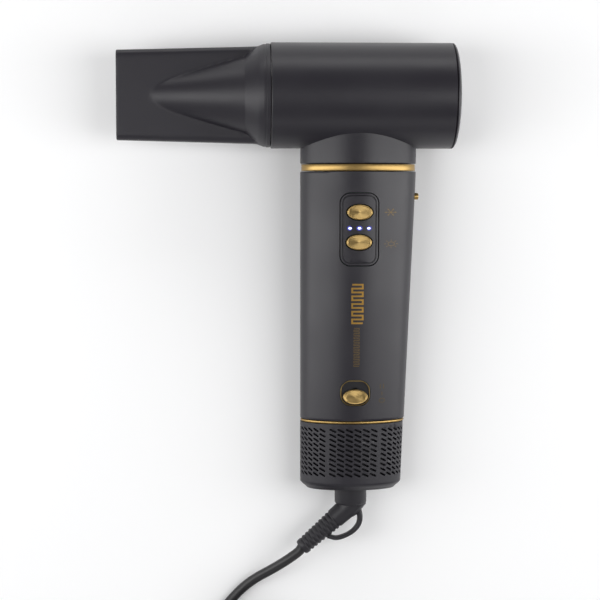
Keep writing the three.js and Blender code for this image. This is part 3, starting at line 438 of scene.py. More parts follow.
cameraData = bpy.data.cameras.new("camera")
cameraData.lens = viewpoint["lens"]
cameraData.sensor_width = viewpoint["sensor"]
camera = bpy.data.objects.new("camera", cameraData)
bpy.context.scene.collection.objects.link(camera)
eye, target = layDown @ Vector(viewpoint["from"]), layDown @ Vector(viewpoint["aim"])
back = (eye - target).normalized()
rightward = handleUp.cross(back).normalized()
camera.matrix_world = Matrix.Translation(eye) @ Matrix(
    (rightward, back.cross(rightward), back)).transposed().to_4x4()
cameraData.clip_start = 0.02
bpy.context.scene.camera = camera

# Cord, coil, tie and plug.

lead = {
    "diameter": 5,
    "length": 1.7,
    "sides": 18,
    "spacing": 2.2,
    "reliefStart": (-2, -203.8),
    "reliefLength": 35,
    "reliefSlope": 41.4,  # degrees below the barrel's direction
    "held": 9,  # inside the strain relief
    "toCoil": [
        (6.9, -143.3, 13.2), (2.6, -146.7, 12.4), (-2.5, -150.3, 10.7), (-8, -153.9, 8.3),
        (-13.8, -157.5, 5.7), (-19.4, -161.6, 3.6), (-24.6, -166.4, 2.6), (-29.3, -171.6, 2.5),
        (-31.3, -174, 2.6), (-35.9, -179.3, 2.6), (-40.5, -184.5, 2.6),
    ],
    "toPlug": [
        (-8.2, -245.4, 13.8), (0.8, -245.9, 13.7), (4.5, -246.3, 13.4), (7.8, -247.2, 13.1),
        (11.4, -247.6, 13), (20, -247.6, 13),
    ],
}
coil = {
    "centre": (-20, -212),
    "radius": 28.5,
    "pitch": 5.25,
    "lift": 5.15,
    "floor": 3.9,
    "sag": (1.35, 1.0, 0.6),  # each layer settles towards the floor away from the tie
    "meets": 140.5,  # degrees, wound anticlockwise
    "from": 155, "to": 3150, "step": 5,
    "crossing": (15, 85),
    "cells": [(1, 0), (0, 0), (-1, 0), (-1, 1), (-1, 2), (0, 2), (0, 1), (1, 1), (1, 2)],
    "tieAt": 180,
    "tieReach": 32,
}


# Each turn keeps its place in the bundle and crosses to the next place in one part of the ring.
def coilSpot(angle):
    start, end = coil["crossing"]
    turn = max(0, (angle - 360 - start) / 360 + 1)
    place = min(int(turn), len(coil["cells"]))
    share = min(1, (turn - int(turn)) * 360 / (end - start))
    share = share * share * (3 - 2 * share)
    before = coil["cells"][max(place - 1, 0)]
    after = coil["cells"][min(place, len(coil["cells"]) - 1)]
    ring, layer = mix(before[0], after[0], share), mix(before[1], after[1], share)
    away = (angle - coil["tieAt"] + 180) % 360 - 180
    loose = 1 - math.exp(-(away / coil["tieReach"]) ** 2)
    sag = mix(coil["sag"][int(layer)], coil["sag"][min(2, int(layer) + 1)], layer % 1)
    radius = coil["radius"] + ring * coil["pitch"]
    a = math.radians(angle)
    return Vector((
        coil["centre"][0] + radius * math.cos(a),
        coil["centre"][1] + radius * math.sin(a),
        coil["floor"] + layer * coil["lift"] - sag * loose,
    ))


slope = math.radians(lead["reliefSlope"])
reliefWay = Vector((-math.cos(slope), -math.sin(slope), 0))
reliefStart = Vector((*lead["reliefStart"], 0))
reliefEnd = reliefStart + reliefWay * lead["reliefLength"]
heldEnd = [onFloor.inverted() @ (layDown @ (reliefEnd - reliefWay * at))
           for at in (lead["held"], 0)]
cordRoute = smoothRoute(heldEnd + lead["toCoil"] + [coilSpot(coil["meets"])], lead["spacing"])
cordRoute += [coilSpot(angle) for angle in range(coil["from"], coil["to"], coil["step"])]
cordRoute += smoothRoute([coilSpot(coil["to"])] + lead["toPlug"], lead["spacing"])
cordRadii = [lead["diameter"] / 2] * len(cordRoute)
cord = addPiece("cordLead", skinRings(tubeRings(cordRoute, cordRadii, lead["sides"])),
                cordRubber, None, ("cord", "cord_coil", "plug_lead"), "rubber_black",
                where=onFloor)
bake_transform(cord)  # it lies still from there on

tie = {"centre": (-48.5, -212, 9.1), "width": 19.2, "height": 18.1, "band": 9, "thickness": 0.95,
       "corner": 5.5}


def tieBand():
    x, y, z = tie["centre"]
    rings = []
    half = tie["band"] / 2
    # across the band, with eased edges, outside and then back inside
    outside = [(-half, 0.3), (-half + 0.3, 0), (half - 0.3, 0), (half, 0.3)]
    inside = [(half, tie["thickness"] - 0.2), (-half, tie["thickness"] - 0.2)]
    for along, inset in outside + inside:
        loop = roundedLoop(x, z, tie["width"] - 2 * inset, tie["height"] - 2 * inset,
                           tie["corner"] - inset)
        rings.append([(u, y + along, v) for u, v in loop])
    return skinRings(rings, closed=True)


strapFinish = plasticFinish("strapWeave", (0.012, 0.012, 0.013), 0.75, grain=1500, relief=0.9)
cordTie = addPiece("cordTie", tieBand(), strapFinish, "handset", ("cord_tie",), "rubber_black",
                   where=onFloor)

plug = {
    "rear": (12, -247.6, 13),
    "neck": [(0, 4.0), (1.2, 4.4), (3, 4.6), (4, 4.1), (5, 4.8), (6, 4.3), (7, 5.1), (8, 4.6),
             (9, 5.5), (10, 5.0), (11, 6.0), (13, 6.6), (18, 7)],
    # along, width, height, corner
    "body": [(15.4, 17, 14, 6), (16.6, 22, 17, 7.5), (19, 28, 20.5, 8.5), (22, 31.5, 23, 9.5),
             (24.5, 32.3, 23.6, 9.8), (27, 31.6, 23.2, 9.6), (29.5, 32.6, 24.2, 10),
             (32, 31.8, 23.8, 9.8), (34.5, 33.2, 25, 10.4), (37, 32.6, 24.6, 10.2),
             (40, 34.2, 25.6, 10.8), (44, 34.8, 25.9, 11), (48.6, 34.8, 25.9, 11),
             (49.6, 34.2, 25.3, 10.7), (50, 33, 24.2, 10.2)],
    "pins": (4.8, 19, 19),  # thickness, length and how far apart
    "pinTip": [(-1.2, 1), (-0.3, 0.8), (0.85, 0.45)],  # past the pin's length, share of its radius
}


def plugShape():
    x, y, z = plug["rear"]
    neckRoute = [Vector((x + along, y, z)) for along, _ in plug["neck"]]
    neck = skinRings(tubeRings(neckRoute, [radius for _, radius in plug["neck"]], 40))
    rings = []
    for along, width, height, corner in plug["body"]:
        loop = roundedLoop(y, z, width, height, corner, steps=12)
        rings.append([(x + along, u, v) for u, v in loop])
    body = rawPiece("plugBody", *skinRings(rings))
    return combine(body, [rawPiece("neck", *neck)], "UNION")


plugBody = finishPiece(plugShape(), rubber, "handset", ("plug_body",), "rubber_black", sharp=50,
                       where=onFloor)
for number, side in enumerate((-1, 1), start=1):
    thickness, length, apart = plug["pins"]
    x, y, z = plug["rear"]
    start = x + plug["body"][-1][0] - 1
    stations = [(0, 1)] + [(length + past, share) for past, share in plug["pinTip"]]
    route = [Vector((start + along, y + side * apart / 2, z)) for along, _ in stations]
    pin = skinRings(tubeRings(route, [share * thickness / 2 for _, share in stations], 28))
    addPiece("plugPin" + str(number), pin, steel, "handset",
                             ("plug_pin_" + str(number),), "bright_steel", where=onFloor)
print("cord, coil and plug laid")

# Sections of the handle.

grip = {
    "top": -37.5, "bottom": -160.5,
    "topWidth": 28.85, "bottomWidth": 26.1,  # half widths and half depths
    "topDepth": 18, "bottomDepth": 15.8,
    "wall": 1.8, "gap": 0.3, "easing": 0.35,
    "sides": 144, "rows": 28, "edgeRow": 1.2,
}


# Middle, height, half width and half depth of the handle, drawn in by an inset.
def gripSection(y, inset=0):
    share = max(0, (grip["top"] - y) / (grip["top"] - grip["bottom"]))
    halfWidth = mix(grip["topWidth"], grip["bottomWidth"], share)
    halfDepth = mix(grip["topDepth"], grip["bottomDepth"], share)
    return halfWidth - grip["topWidth"], y, halfWidth - inset, halfDepth - inset


# Level of the handle's skin under a point.
def skinAt(x, y, inset=0):
    middle, _, halfWidth, halfDepth = gripSection(y, inset)
    return halfDepth * math.sqrt(max(0.02, 1 - ((x - middle) / halfWidth) ** 2))


# Barrel and rear cover.

barrel = {
    "radius": 26.1, "wall": 1.8, "front": -43.5, "rear": 46.2, "easing": 0.3, "sides": 160,
    "neckEnd": -33.6, "neckTop": -4,
}


def barrelShape():
    reach, eased = barrel["radius"], barrel["easing"]
    outside = [
        (barrel["front"], reach - eased), (barrel["front"] + eased, reach),
        (-20, reach), (0, reach), (20, reach),
        (barrel["rear"] - eased, reach), (barrel["rear"], reach - eased),
    ]
    made = rawPiece("barrelShell", *skinRings(turnAlongBarrel(outside, barrel["sides"])))
    heights = [barrel["neckEnd"], barrel["neckEnd"] + eased, -26, -18, barrel["neckTop"]]
    insets = [eased, 0, 0, 0, 0]
    neck = [ovalRing(gripSection(y, inset), 128) for y, inset in zip(heights, insets)]
    combine(made, [rawPiece("neck", *skinRings(neck))], "UNION")
    past = 5  # the bores' cutters go this far past the ends
    bore = [(barrel["front"] - past, reach - barrel["wall"]),
            (barrel["rear"] + past, reach - barrel["wall"])]
    neckBore = [ovalRing(gripSection(y, barrel["wall"]), 96)
                for y in (barrel["neckEnd"] - past, barrel["neckTop"])]
    cutters = [skinRings(turnAlongBarrel(bore, 96)), skinRings(neckBore)]
    return combine(made, [rawPiece("bore", *cutter) for cutter in cutters])


finishPiece(barrelShape(), softBlack, "handset", ("barrel_shell",), "soft_black", sharp=28)

cover = {
    "start": 46.5, "end": 49.3, "radius": 26.1, "thickness": 2.2, "easing": 0.25,
    "rounding": 2.6, "roundingWidth": 14, "roundingSteps": 18,
    "spigot": 24, "spigotTo": 41.5, "spigotWall": 1.4,
}


def rearCoverShape():
    start, end, reach, bend = (cover[key] for key in ("start", "end", "radius", "rounding"))
    width, steps = cover["roundingWidth"], cover["roundingSteps"]
    inner, spigot = cover["spigot"] - cover["spigotWall"], cover["spigot"]
    profile = [
        (end - cover["thickness"], tip), (end - cover["thickness"], inner),
        (cover["spigotTo"], inner), (cover["spigotTo"], spigot),
        (start, spigot), (start, reach - cover["easing"]), (start + 0.2, reach),
    ]
    for step in range(1, steps + 1):
        a = step / steps * math.pi / 2
        profile.append((end - bend * (1 - math.sin(a)), reach - width * (1 - math.cos(a))))
    profile += [(end, reach * 0.25), (end, tip)]
    return skinRings(turnAlongBarrel(profile, 144))


addPiece("rearCover", rearCoverShape(), softBlack, "handset", ("rear_cover",), "soft_black")

outlet = {
    "face": -43.2, "bore": 19.2, "lip": 21, "lipTo": -45.7, "outer": 24, "depth": 6.5,
    "rings": [18.6, 16.6, 14.6, 12.6, 10.6, 8.6], "ringWidth": 0.9, "thickness": 2,
    "hub": 6.6, "dome": [(-1.1, 0.4), (-0.7, 0.75), (-0.1, 0.96), (0.3, 1)],
    "spokes": 12, "spokeWidth": 0.8, "spokeSink": 0.25, "easing": 0.4, "edge": 0.2,
}


def outletRingShape():
    face, bore, lip, end = (outlet[key] for key in ("face", "bore", "lip", "lipTo"))
    eased = outlet["easing"]
    profile = [
        (end + eased, bore), (end, bore + eased), (end, lip - eased),
        (end + eased, lip), (face, lip), (face, outlet["outer"]),
        (face + outlet["depth"], outlet["outer"]), (face + outlet["depth"], bore),
    ]
    return skinRings(turnAlongBarrel(profile, 128), closed=True)


# Rings and spokes, domed hub in the middle.
def outletGrilleShape():
    face, deep = outlet["face"], outlet["face"] + outlet["thickness"]
    hub, edge = outlet["hub"], outlet["edge"]
    dome = [(face + rise, hub * share) for rise, share in outlet["dome"]]
    profile = [(face - 1.2, tip), *dome, (deep, hub), (deep, tip)]
    made = rawPiece("outletGrille", *skinRings(turnAlongBarrel(profile, 64)))
    for radius in outlet["rings"]:
        inner = radius - outlet["ringWidth"]
        profile = [(face + 0.15, inner), (face, inner + edge), (face, radius - edge),
                   (face + 0.15, radius), (deep, radius), (deep, inner)]
        ring = skinRings(turnAlongBarrel(profile, 96), closed=True)
        combine(made, [rawPiece("ring", *ring)], "UNION")
    for number in range(outlet["spokes"]):
        a = full * (number + 0.5) / outlet["spokes"]
        out, half = Vector((0, math.cos(a), math.sin(a))), outlet["spokeWidth"] / 2
        side = Vector((0, -math.sin(a), math.cos(a))) * half
        front = Vector((face + outlet["spokeSink"], 0, 0))
        rear = Vector((deep - 0.1, 0, 0))
        rings = []
        for reach in (hub - 1, outlet["rings"][0] - 0.3):
            left, right = out * reach + side, out * reach - side
            rings.append([left + front, right + front, right + rear, left + rear])
        combine(made, [rawPiece("spoke", *skinRings(rings))], "UNION")
    return made


addPiece("outletRing", outletRingShape(), aluminium, "handset", ("outlet_ring",), "nozzle_black")
finishPiece(outletGrilleShape(), nozzleBlack, "handset", ("outlet_grille",), "nozzle_black")

# Nozzle.

nozzle = {
    "base": -43.8, "length": 75.7, "wall": 1.5,
    "rootHeight": 23.9, "tipHeight": 22.1, "rootDepth": 6, "tipDepth": 5,  # half sizes
    "corner": 3,
    # how far from the base, and the half height and half depth of the round part there
    "round": [(0, 25.25, 25.25), (0.25, 25.5, 25.5), (1.95, 25.5, 25.5), (2.2, 25.2, 25.2),
              (3.4, 25.2, 25.2), (5.8, 24.3, 24.3), (12.6, 19.6, 19.6), (58.6, 7.6, 5.2),
              (62, 6.2, 3.8), (75.7, 1, 0.8)],
    "collarTo": 3.6, "bladeFrom": 2.3,
    "blendWidth": 0.4, "blendFrom": 6,
    "sides": 208, "crowding": 0.8,
    "mouthRadius": 23.7,
    "near": [0, 0.25, 1.95, 2.2, 3.4, 3.61, 4.6, 5.8, 6.4, 7.5, 9, 10.5, 11.8, 12.25, 12.6,
             12.95, 13.4],
    "lip": [(0.2, 0.06), (0.05, 0.2), (0, 0.4), (0, 1.1), (0.2, 1.4), (0.8, 1.5)],  # back, inset
}


def roundPart(fromBase):
    for (a, *low), (b, *high) in zip(nozzle["round"], nozzle["round"][1:]):
        if fromBase <= b:
            return [mix(part, other, (fromBase - a) / (b - a)) for part, other in zip(low, high)]
    return nozzle["round"][-1][1:]


def bladeReach(angle, height, depth, corner):
    c, s = abs(math.cos(angle)), abs(math.sin(angle))
    if c * (depth - corner) >= s * height:
        return height / c
    if s * (height - corner) >= c * depth:
        return depth / s
    y, z = height - corner, depth - corner
    along = y * c + z * s
    return along + math.sqrt(max(0, along * along - y * y - z * z + corner * corner))


def nozzleRing(fromBase, inset):
    collar = nozzle["collarTo"]
    share = max(0, (fromBase - collar) / (nozzle["length"] - collar))
    height = mix(nozzle["rootHeight"], nozzle["tipHeight"], share) - inset
    depth = mix(nozzle["rootDepth"], nozzle["tipDepth"], share) - inset
    corner = nozzle["corner"] - min(inset, nozzle["wall"])
    roundHeight, roundDepth = [max(0.3, part - inset) for part in roundPart(fromBase)]
    if fromBase < collar and inset >= nozzle["wall"]:
        roundHeight = roundDepth = nozzle["mouthRadius"]
    ring = []
    for step in range(nozzle["sides"]):
        a = full * step / nozzle["sides"]
        a -= nozzle["crowding"] * math.sin(2 * a) / 2
        flat = bladeReach(a, height, depth, corner) if fromBase > nozzle["bladeFrom"] else 0
        soft = nozzle["blendWidth"] if fromBase > nozzle["blendFrom"] else 0
        turned = 1 / math.hypot(math.cos(a) / roundHeight, math.sin(a) / roundDepth)
        reach = (turned + flat + math.sqrt((turned - flat) ** 2 + soft ** 2)) / 2
        ring.append((nozzle["base"] - fromBase, reach * math.cos(a), reach * math.sin(a)))
    return ring


def nozzleShape():
    stations = nozzle["near"] + [mix(15, 51, step / 28) for step in range(29)]
    stations += [mix(51.5, 61, step / 24) for step in range(25)]
    stations += [mix(62, nozzle["length"] - 0.5, step / 11) for step in range(12)]
    rings = [nozzleRing(at, 0) for at in stations]
    rings += [nozzleRing(nozzle["length"] - back, inset) for back, inset in nozzle["lip"]]
    inner = [at for at in reversed(stations[:-1]) if at > nozzle["collarTo"]]
    rings += [nozzleRing(at, nozzle["wall"]) for at in inner + [nozzle["collarTo"] - 0.01, 0]]
    return skinRings(rings, closed=True)


addPiece("nozzleShell", nozzleShape(), nozzleBlack, "nozzle", ("nozzle_shell",), "nozzle_black",
         sharp=24)

# Gold rings.

neckRing = {"top": -33.9, "bottom": -37.2, "inset": 0.5, "wall": 2.2, "easing": 0.3}
footRing = {"top": -160.8, "bottom": -161.9, "inset": 0.15, "wall": 1.7, "easing": 0.3}


def hoopShape(hoop):
    top, bottom, inset, eased = (hoop[key] for key in ("top", "bottom", "inset", "easing"))
    bevel = eased * 0.3
    steps = [(bottom, inset + eased), (bottom + bevel, inset + bevel), (bottom + eased, inset),
             (top - eased, inset), (top - bevel, inset + bevel), (top, inset + eased),
             (top, hoop["wall"]), (bottom, hoop["wall"])]
    return skinRings([ovalRing(gripSection(*step), 160) for step in steps], closed=True)


for name, hoop, stands in (("neckRing", neckRing, "neck_ring"),
                           ("footRing", footRing, "foot_ring")):
    addPiece(name, hoopShape(hoop), polishedGold, "handset", (stands,), "gold_trim")

# Grip.

panel = {"x": 0, "y": -65.9, "width": 18.9, "height": 35.6, "corner": 5, "recess": 0.5,
         "thickness": 1.6, "band": 1.15, "groove": 0.22, "bandEdge": 0.22, "faceEdge": 0.2,
         "back": {"inset": 0.6, "drop": 0.45, "thickness": 1.1}}
slider = {"x": 0, "y": -146.5, "width": 14.5, "height": 12.4, "corner": 5.2, "frame": 0.4,
          "depth": 1.4, "floor": 0.8, "stem": (2.4, 5.2), "stemCorner": 0.3,
          "frameRise": 0.1, "frameThickness": 0.5, "frameEdge": 0.15,
          "wellInset": 0.05, "wellDrop": 0.42, "wellDepth": 1.6}
rearKey = {
    "y": -49.8, "radius": 1.7, "proud": 2, "length": 4.6, "flange": 3, "flangeThickness": 0.8,
    "crown": [(-0.9, 1), (-0.5, 0.95), (-0.2, 0.8), (-0.05, 0.5)],  # from the tip, share of radius
}
panel["x"] += gripSection(panel["y"])[0]
slider["x"] += gripSection(slider["y"])[0]


def gripShape():
    top, bottom, wall, eased = (grip[key] for key in ("top", "bottom", "wall", "easing"))
    bevel = eased * 0.35
    rows = [(bottom, eased), (bottom + bevel, bevel), (bottom + eased, 0),
            (bottom + grip["edgeRow"], 0)]
    rows += [(mix(bottom, top, step / grip["rows"]), 0) for step in range(1, grip["rows"])]
    rows += [(top - grip["edgeRow"], 0), (top - eased, 0), (top - bevel, bevel), (top, eased)]
    rows += [(top, wall), (bottom, wall)]
    rings = [ovalRing(gripSection(*row), grip["sides"]) for row in rows]
    made = rawPiece("gripShell", *skinRings(rings, closed=True))
    cutters = []
    for hole in (panel, slider):
        rings = []
        for level in (2, 30):  # through the side with the controls only
            loop = roundedLoop(hole["x"], hole["y"], hole["width"] + 2 * grip["gap"],
                               hole["height"] + 2 * grip["gap"], hole["corner"] + grip["gap"], 10)
            rings.append([(u, v, level) for u, v in loop])
        cutters.append(rawPiece("opening", *skinRings(rings)))
    reach = rearKey["radius"] + grip["gap"]
    rings = turnAlongBarrel([(10, reach), (50, reach)], 40)
    rings = [[(x, rearKey["y"] + y, z) for x, y, z in ring] for ring in rings]
    cutters.append(rawPiece("keyHole", *skinRings(rings)))
    return combine(made, cutters)


finishPiece(gripShape(), softBlack, "handset", ("grip_shell",), "soft_black", sharp=28)

# Control panel, keys and lamps.

keys = {
    "width": 12.65, "height": 7.55, "proud": 0.9, "gap": 0.3,
    "cool": -57.5, "heat": -72.2,
    # share of the outline and level under the face
    "profile": [(0.8, -2.9), (1.0, -2.8), (1.0, -0.75), (0.995, -0.45), (0.975, -0.2),
                (0.95, -0.08), (0.92, 0), (0.885, -0.03), (0.86, -0.16), (0.845, -0.24),
                (0.7, -0.2), (0.5, -0.15), (0.3, -0.1), (0.12, -0.06), (0.002, -0.05)],
}
lamps = {
    "y": -65.3, "spacing": 4.6, "width": 1.7, "height": 1.05, "dome": 0.22, "gap": 0.1,
    "halo": 1.3,
    "haloProfile": [(0.98, -0.12), (1, -0.05), (0.99, 0.02), (0.9, 0.035), (0.002, 0.04)],
}


def panelTop(x, y, drop):
    return x, y, skinAt(x, y, panel["recess"]) - drop


def panelLoop(inset):
    return lambda edge: roundedLoop(panel["x"], panel["y"], panel["width"] - 2 * (inset + edge),
                                    panel["height"] - 2 * (inset + edge),
                                    panel["corner"] - inset - edge, 10)


def keyLoop(y, gap):
    x = gripSection(y)[0]
    return lambda edge: ovalLoop(x, y, keys["width"] + 2 * (gap - edge),
                                 keys["height"] + 2 * (gap - edge), 60)


def lampLoop(step, gap):
    x = panel["x"] + step * lamps["spacing"]
    return lambda edge: ovalLoop(x, lamps["y"], lamps["width"] + 2 * (gap - edge),
                                 lamps["height"] + 2 * (gap - edge), 32)


# A band round the edge, a groove, the face inside it, and a sheet that closes the groove, darker
# than the shell as painted shade.
panelBack = panel["back"]
bandIn = panel["band"] + panel["groove"]
keyHoles = [keyLoop(keys["cool"], keys["gap"]), keyLoop(keys["heat"], keys["gap"])]
lampHoles = [lampLoop(step, lamps["gap"]) for step in (-1, 0, 1)]
panelSheets = {
    "panelBand": (softBlack, cutSheet(panelLoop(0), [panelLoop(panel["band"])], panelTop,
                                   panel["thickness"], edge=panel["bandEdge"], spacing=0)),
    "panelFace": (softBlack, cutSheet(panelLoop(bandIn), keyHoles + lampHoles, panelTop,
                                   panel["thickness"], edge=panel["faceEdge"], spacing=1.6)),
    "panelBack": (paintedRecessShade, cutSheet(panelLoop(panelBack["inset"]), keyHoles,
                                       lambda x, y, drop: panelTop(x, y, panelBack["drop"] + drop),
                                       panelBack["thickness"], edge=0, spacing=2.2)),
}
for name, (look, sheet) in panelSheets.items():
    addPiece(name, sheet, look, "handset", ("control_panel",), "soft_black")


# Rings of an outline from the skirt over the rim to the middle, with "spin" coordinates.
def spunPiece(name, x, y, level, width, height, profile, sides=72):
    rings = []
    for share, under in profile:
        loop = ovalLoop(x, y, width * share, height * share, sides)
        rings.append([(u, v, level + under) for u, v in loop])
    made = rawPiece(name, *skinRings(rings))
    spin = made.data.uv_layers.new(name="spin")
    for face in made.data.polygons:
        around = []
        for loop in face.loop_indices:
            spot = made.data.vertices[made.data.loops[loop].vertex_index].co
            u, v = (spot.x - x) / width * 2, (spot.y - y) / height * 2
            turn = math.atan2(v, u) / full
            if around:
                turn -= round(turn - around[0])  # on the same turn as the face's first corner
            around.append(turn)
            spin.data[loop].uv = (turn, math.hypot(u, v))
    return made


for name, y, body, stands in (("coolKey", keys["cool"], "cool_key", "cool_button"),
                              ("heatKey", keys["heat"], "heat_key", "heat_button")):
    level = gripSection(y)[3] - panel["recess"] + keys["proud"]
    key = spunPiece(name, gripSection(y)[0], y, level, keys["width"], keys["height"],
                    keys["profile"])
    finishPiece(key, spunGold, body, (stands,), "gold_trim")

for number, step in enumerate((-1, 0, 1), start=1):
    x = panel["x"] + step * lamps["spacing"]
    level = skinAt(x, lamps["y"], panel["recess"])
    dome = lamps["dome"]
    lens = spunPiece("lampLens" + str(number), x, lamps["y"], level, lamps["width"],
                     lamps["height"], [(0.9, -2.2), (1, -2.1), (1, -0.02), (0.93, dome * 0.45),
                                       (0.75, dome * 0.8), (0.4, dome), (0.002, dome)], sides=36)
    finishPiece(lens, lampWhite, "handset", ("led_lens_" + str(number),), "lamp_lens")
    # A thin ring round the lens that glows with painted light, as if the lamp lit the panel.
    halo = spunPiece("paintedLampGlow" + str(number), x, lamps["y"], level,
                     lamps["width"] + lamps["halo"], lamps["height"] + lamps["halo"],
                     lamps["haloProfile"], sides=36)
    finishPiece(halo, paintedLampGlow, "handset", (), "lamp_lens")
print("shells, panel and keys made")

# Printed marks.


# A printed line of even width over the skin, as a thin closed strip.
def printedLine(points, width, closed=False, rise=0.06, sink=0.15, spacing=1.2):
    corners = [Vector(point) for point in points]
    spots = []
    for i, corner in enumerate(corners):
        spots.append(corner)
        if closed or i < len(corners) - 1:
            ahead = corners[(i + 1) % len(corners)]
            parts = math.ceil((ahead - corner).length / spacing)
            spots += [corner.lerp(ahead, part / parts) for part in range(1, parts)]
    rings = []
    count = len(spots)
    for i, spot in enumerate(spots):
        before = spots[i - 1] if closed or i else None
        after = spots[(i + 1) % count] if closed or i < count - 1 else None
        ways = []
        if before is not None:
            ways.append((spot - before).normalized())
        if after is not None:
            ways.append((after - spot).normalized())
        way = sum(ways, Vector((0, 0))).normalized()
        reach = width / 2 / max(0.6, way.dot(ways[0]))
        side = Vector((-way.y, way.x)) * reach
        left, right = spot + side, spot - side
        rings.append([(at.x, at.y, skinAt(*at) + level) for at, level in
                      ((left, rise), (right, rise), (right, -sink), (left, -sink))])
    return skinRings(rings, closed)


def printedPiece(name, lines, look):
    points, faces = [], []
    for line in lines:
        shift = len(points)
        points += line[0]
        faces += [tuple(i + shift for i in face) for face in line[1]]
    return addPiece(name, (points, faces), look, "handset", (), "gold_trim", sharp=40)


marks = {
    "snow": (14.9, -57.5, 6.3, 3.75),
    "sun": (15.2, -73.0, 7.3, 4.2),
    "line": 0.22,
    "speedX": 10.95, "speeds": (-143.4, -146.9, -150.4), "speedHeight": 2.2, "speedLine": 0.42,
    "off": (2.7, 2.0, 0.36),  # width, height and line
    "ornament": {"from": -92.9, "to": -111.9, "x": -1.5, "width": 5.2, "line": 0.85, "bends": 5},
    "fineOrnament": {"from": -114.4, "to": -133.2, "x": -1.9, "width": 2.6, "line": 0.3,
                     "bends": 11},
}


def snowLines():
    x, y, width, height = marks["snow"]
    lines = []
    for arm in range(6):
        a = math.radians(60 * arm)
        out = Vector((math.cos(a) * width / 2, math.sin(a) * height / 2 * 1.1))
        lines.append(printedLine([(x, y), (x + out.x, y + out.y)], marks["line"]))
        for side in (-1, 1):
            b = a + side * math.radians(38)
            twig = Vector((math.cos(b) * width, math.sin(b) * height)) * 0.13
            root = Vector((x, y)) + out * 0.6
            lines.append(printedLine([root, root + twig], marks["line"] * 0.8))
    return lines


def sunLines():
    x, y, width, height = marks["sun"]
    disc = ovalLoop(x, y, width * 0.46, height * 0.46, 28)
    lines = [printedLine(disc, marks["line"], closed=True)]
    for ray in range(8):
        a = math.radians(45 * ray)
        ends = [(x + math.cos(a) * width / 2 * share, y + math.sin(a) * height / 2 * share)
                for share in (0.68, 1)]
        lines.append(printedLine(ends, marks["line"]))
    return lines


def speedLines():
    x, half = marks["speedX"], marks["speedHeight"] / 2
    fast, slow, off = marks["speeds"]
    width, height, line = marks["off"]
    strokes = [(x - 0.85, fast, half), (x + 0.85, fast, half), (x, slow, half * 0.8)]
    lines = [printedLine([(at, y - reach), (at, y + reach)], marks["speedLine"])
             for at, y, reach in strokes]
    lines.append(printedLine(ovalLoop(x, off, width, height, 28), line, closed=True))
    return lines


# A band of square bends down the middle of the grip.
def meanderLine(ornament):
    half, bends = ornament["width"] / 2, ornament["bends"]
    step = (ornament["to"] - ornament["from"]) / (2 * bends)
    points = [(ornament["x"] - half, ornament["from"])]
    side = -1
    for bend in range(2 * bends):
        y = ornament["from"] + bend * step
        points.append((ornament["x"] - side * half, y))
        points.append((ornament["x"] - side * half, y + step))
        side = -side
    points.append((ornament["x"] - side * half, ornament["to"]))
    return printedLine(points, ornament["line"])


printedPiece("snowMark", snowLines(), paleGold)
printedPiece("sunMark", sunLines(), paleGold)
printedPiece("speedMarks", speedLines(), faintGold)
printedPiece("gripOrnament", [meanderLine(marks["ornament"])], printedGold)
printedPiece("fineOrnament", [meanderLine(marks["fineOrnament"])], paleGold)

# Power slider.

knob = {"width": 12.4, "height": 7.35, "proud": 1.2, "travel": 3.6,
        "profile": [(0.9, -2.2), (0.98, -2.1), (1.0, -0.7), (0.99, -0.35), (0.965, -0.12),
                    (0.93, 0), (0.89, -0.02), (0.86, -0.14), (0.84, -0.2), (0.6, -0.14),
                    (0.3, -0.05), (0.002, 0.0)]}


def sliderLoop(inset):
    return lambda edge: roundedLoop(slider["x"], slider["y"], slider["width"] - 2 * (inset + edge),
                                    slider["height"] - 2 * (inset + edge),
                                    slider["corner"] - inset - edge, 12)


def onSkin(rise):
    return lambda x, y, drop: (x, y, skinAt(x, y) + rise - drop)


slotFace = gripSection(slider["y"])[3]
floorLevel = slotFace - slider["depth"]
inFrame = [sliderLoop(slider["frame"])]
frameSheet = cutSheet(sliderLoop(0), inFrame, onSkin(slider["frameRise"]),
                      slider["frameThickness"], edge=slider["frameEdge"], spacing=0)
addPiece("sliderFrame", frameSheet, frameGold, "handset", ("slider_bezel",), "gold_trim")
# The well's wall and floor are in painted shade, a black darker than the shell.
wallSheet = cutSheet(sliderLoop(slider["wellInset"]), inFrame, onSkin(-slider["wellDrop"]),
                     slider["wellDepth"], edge=0, spacing=0)
addPiece("sliderWell", wallSheet, paintedRecessShade, "handset", ("slider_bezel",), "soft_black")
stemWidth, stemHeight = slider["stem"]
floorSheet = cutSheet(
    sliderLoop(0.4),
    [lambda edge: roundedLoop(slider["x"], slider["y"], stemWidth + 2 * edge,
                              stemHeight + 2 * edge, slider["stemCorner"], 2)],
    lambda x, y, drop: (x, y, floorLevel - drop), slider["floor"], edge=0, spacing=3)
addPiece("sliderFloor", floorSheet, paintedRecessShade, "handset", ("slider_bezel",), "soft_black")
knobShape = spunPiece("powerKnob", slider["x"], slider["y"] - knob["travel"] / 2,
                      slotFace + knob["proud"], knob["width"], knob["height"], knob["profile"])
finishPiece(knobShape, spunGold, "slider", ("power_slider",), "gold_trim")

# Cool-shot key.


def rearKeyShape():
    middle, _, halfWidth, _ = gripSection(rearKey["y"])
    end = middle + halfWidth + rearKey["proud"]
    reach, root = rearKey["radius"], end - rearKey["length"]
    profile = [(root - rearKey["flangeThickness"], rearKey["flange"]), (root, rearKey["flange"]),
               (root, reach)]
    profile += [(end + at, reach * share) for at, share in rearKey["crown"]] + [(end, tip)]
    rings = turnAlongBarrel(profile, 40)
    return skinRings([[(x, y + rearKey["y"], z) for x, y, z in ring] for ring in rings])


addPiece("coolShotKey", rearKeyShape(), polishedGold, "cool_shot_key", ("rear_button",),
         "gold_trim")
print("marks, slider and rear key made")

# Air filter.

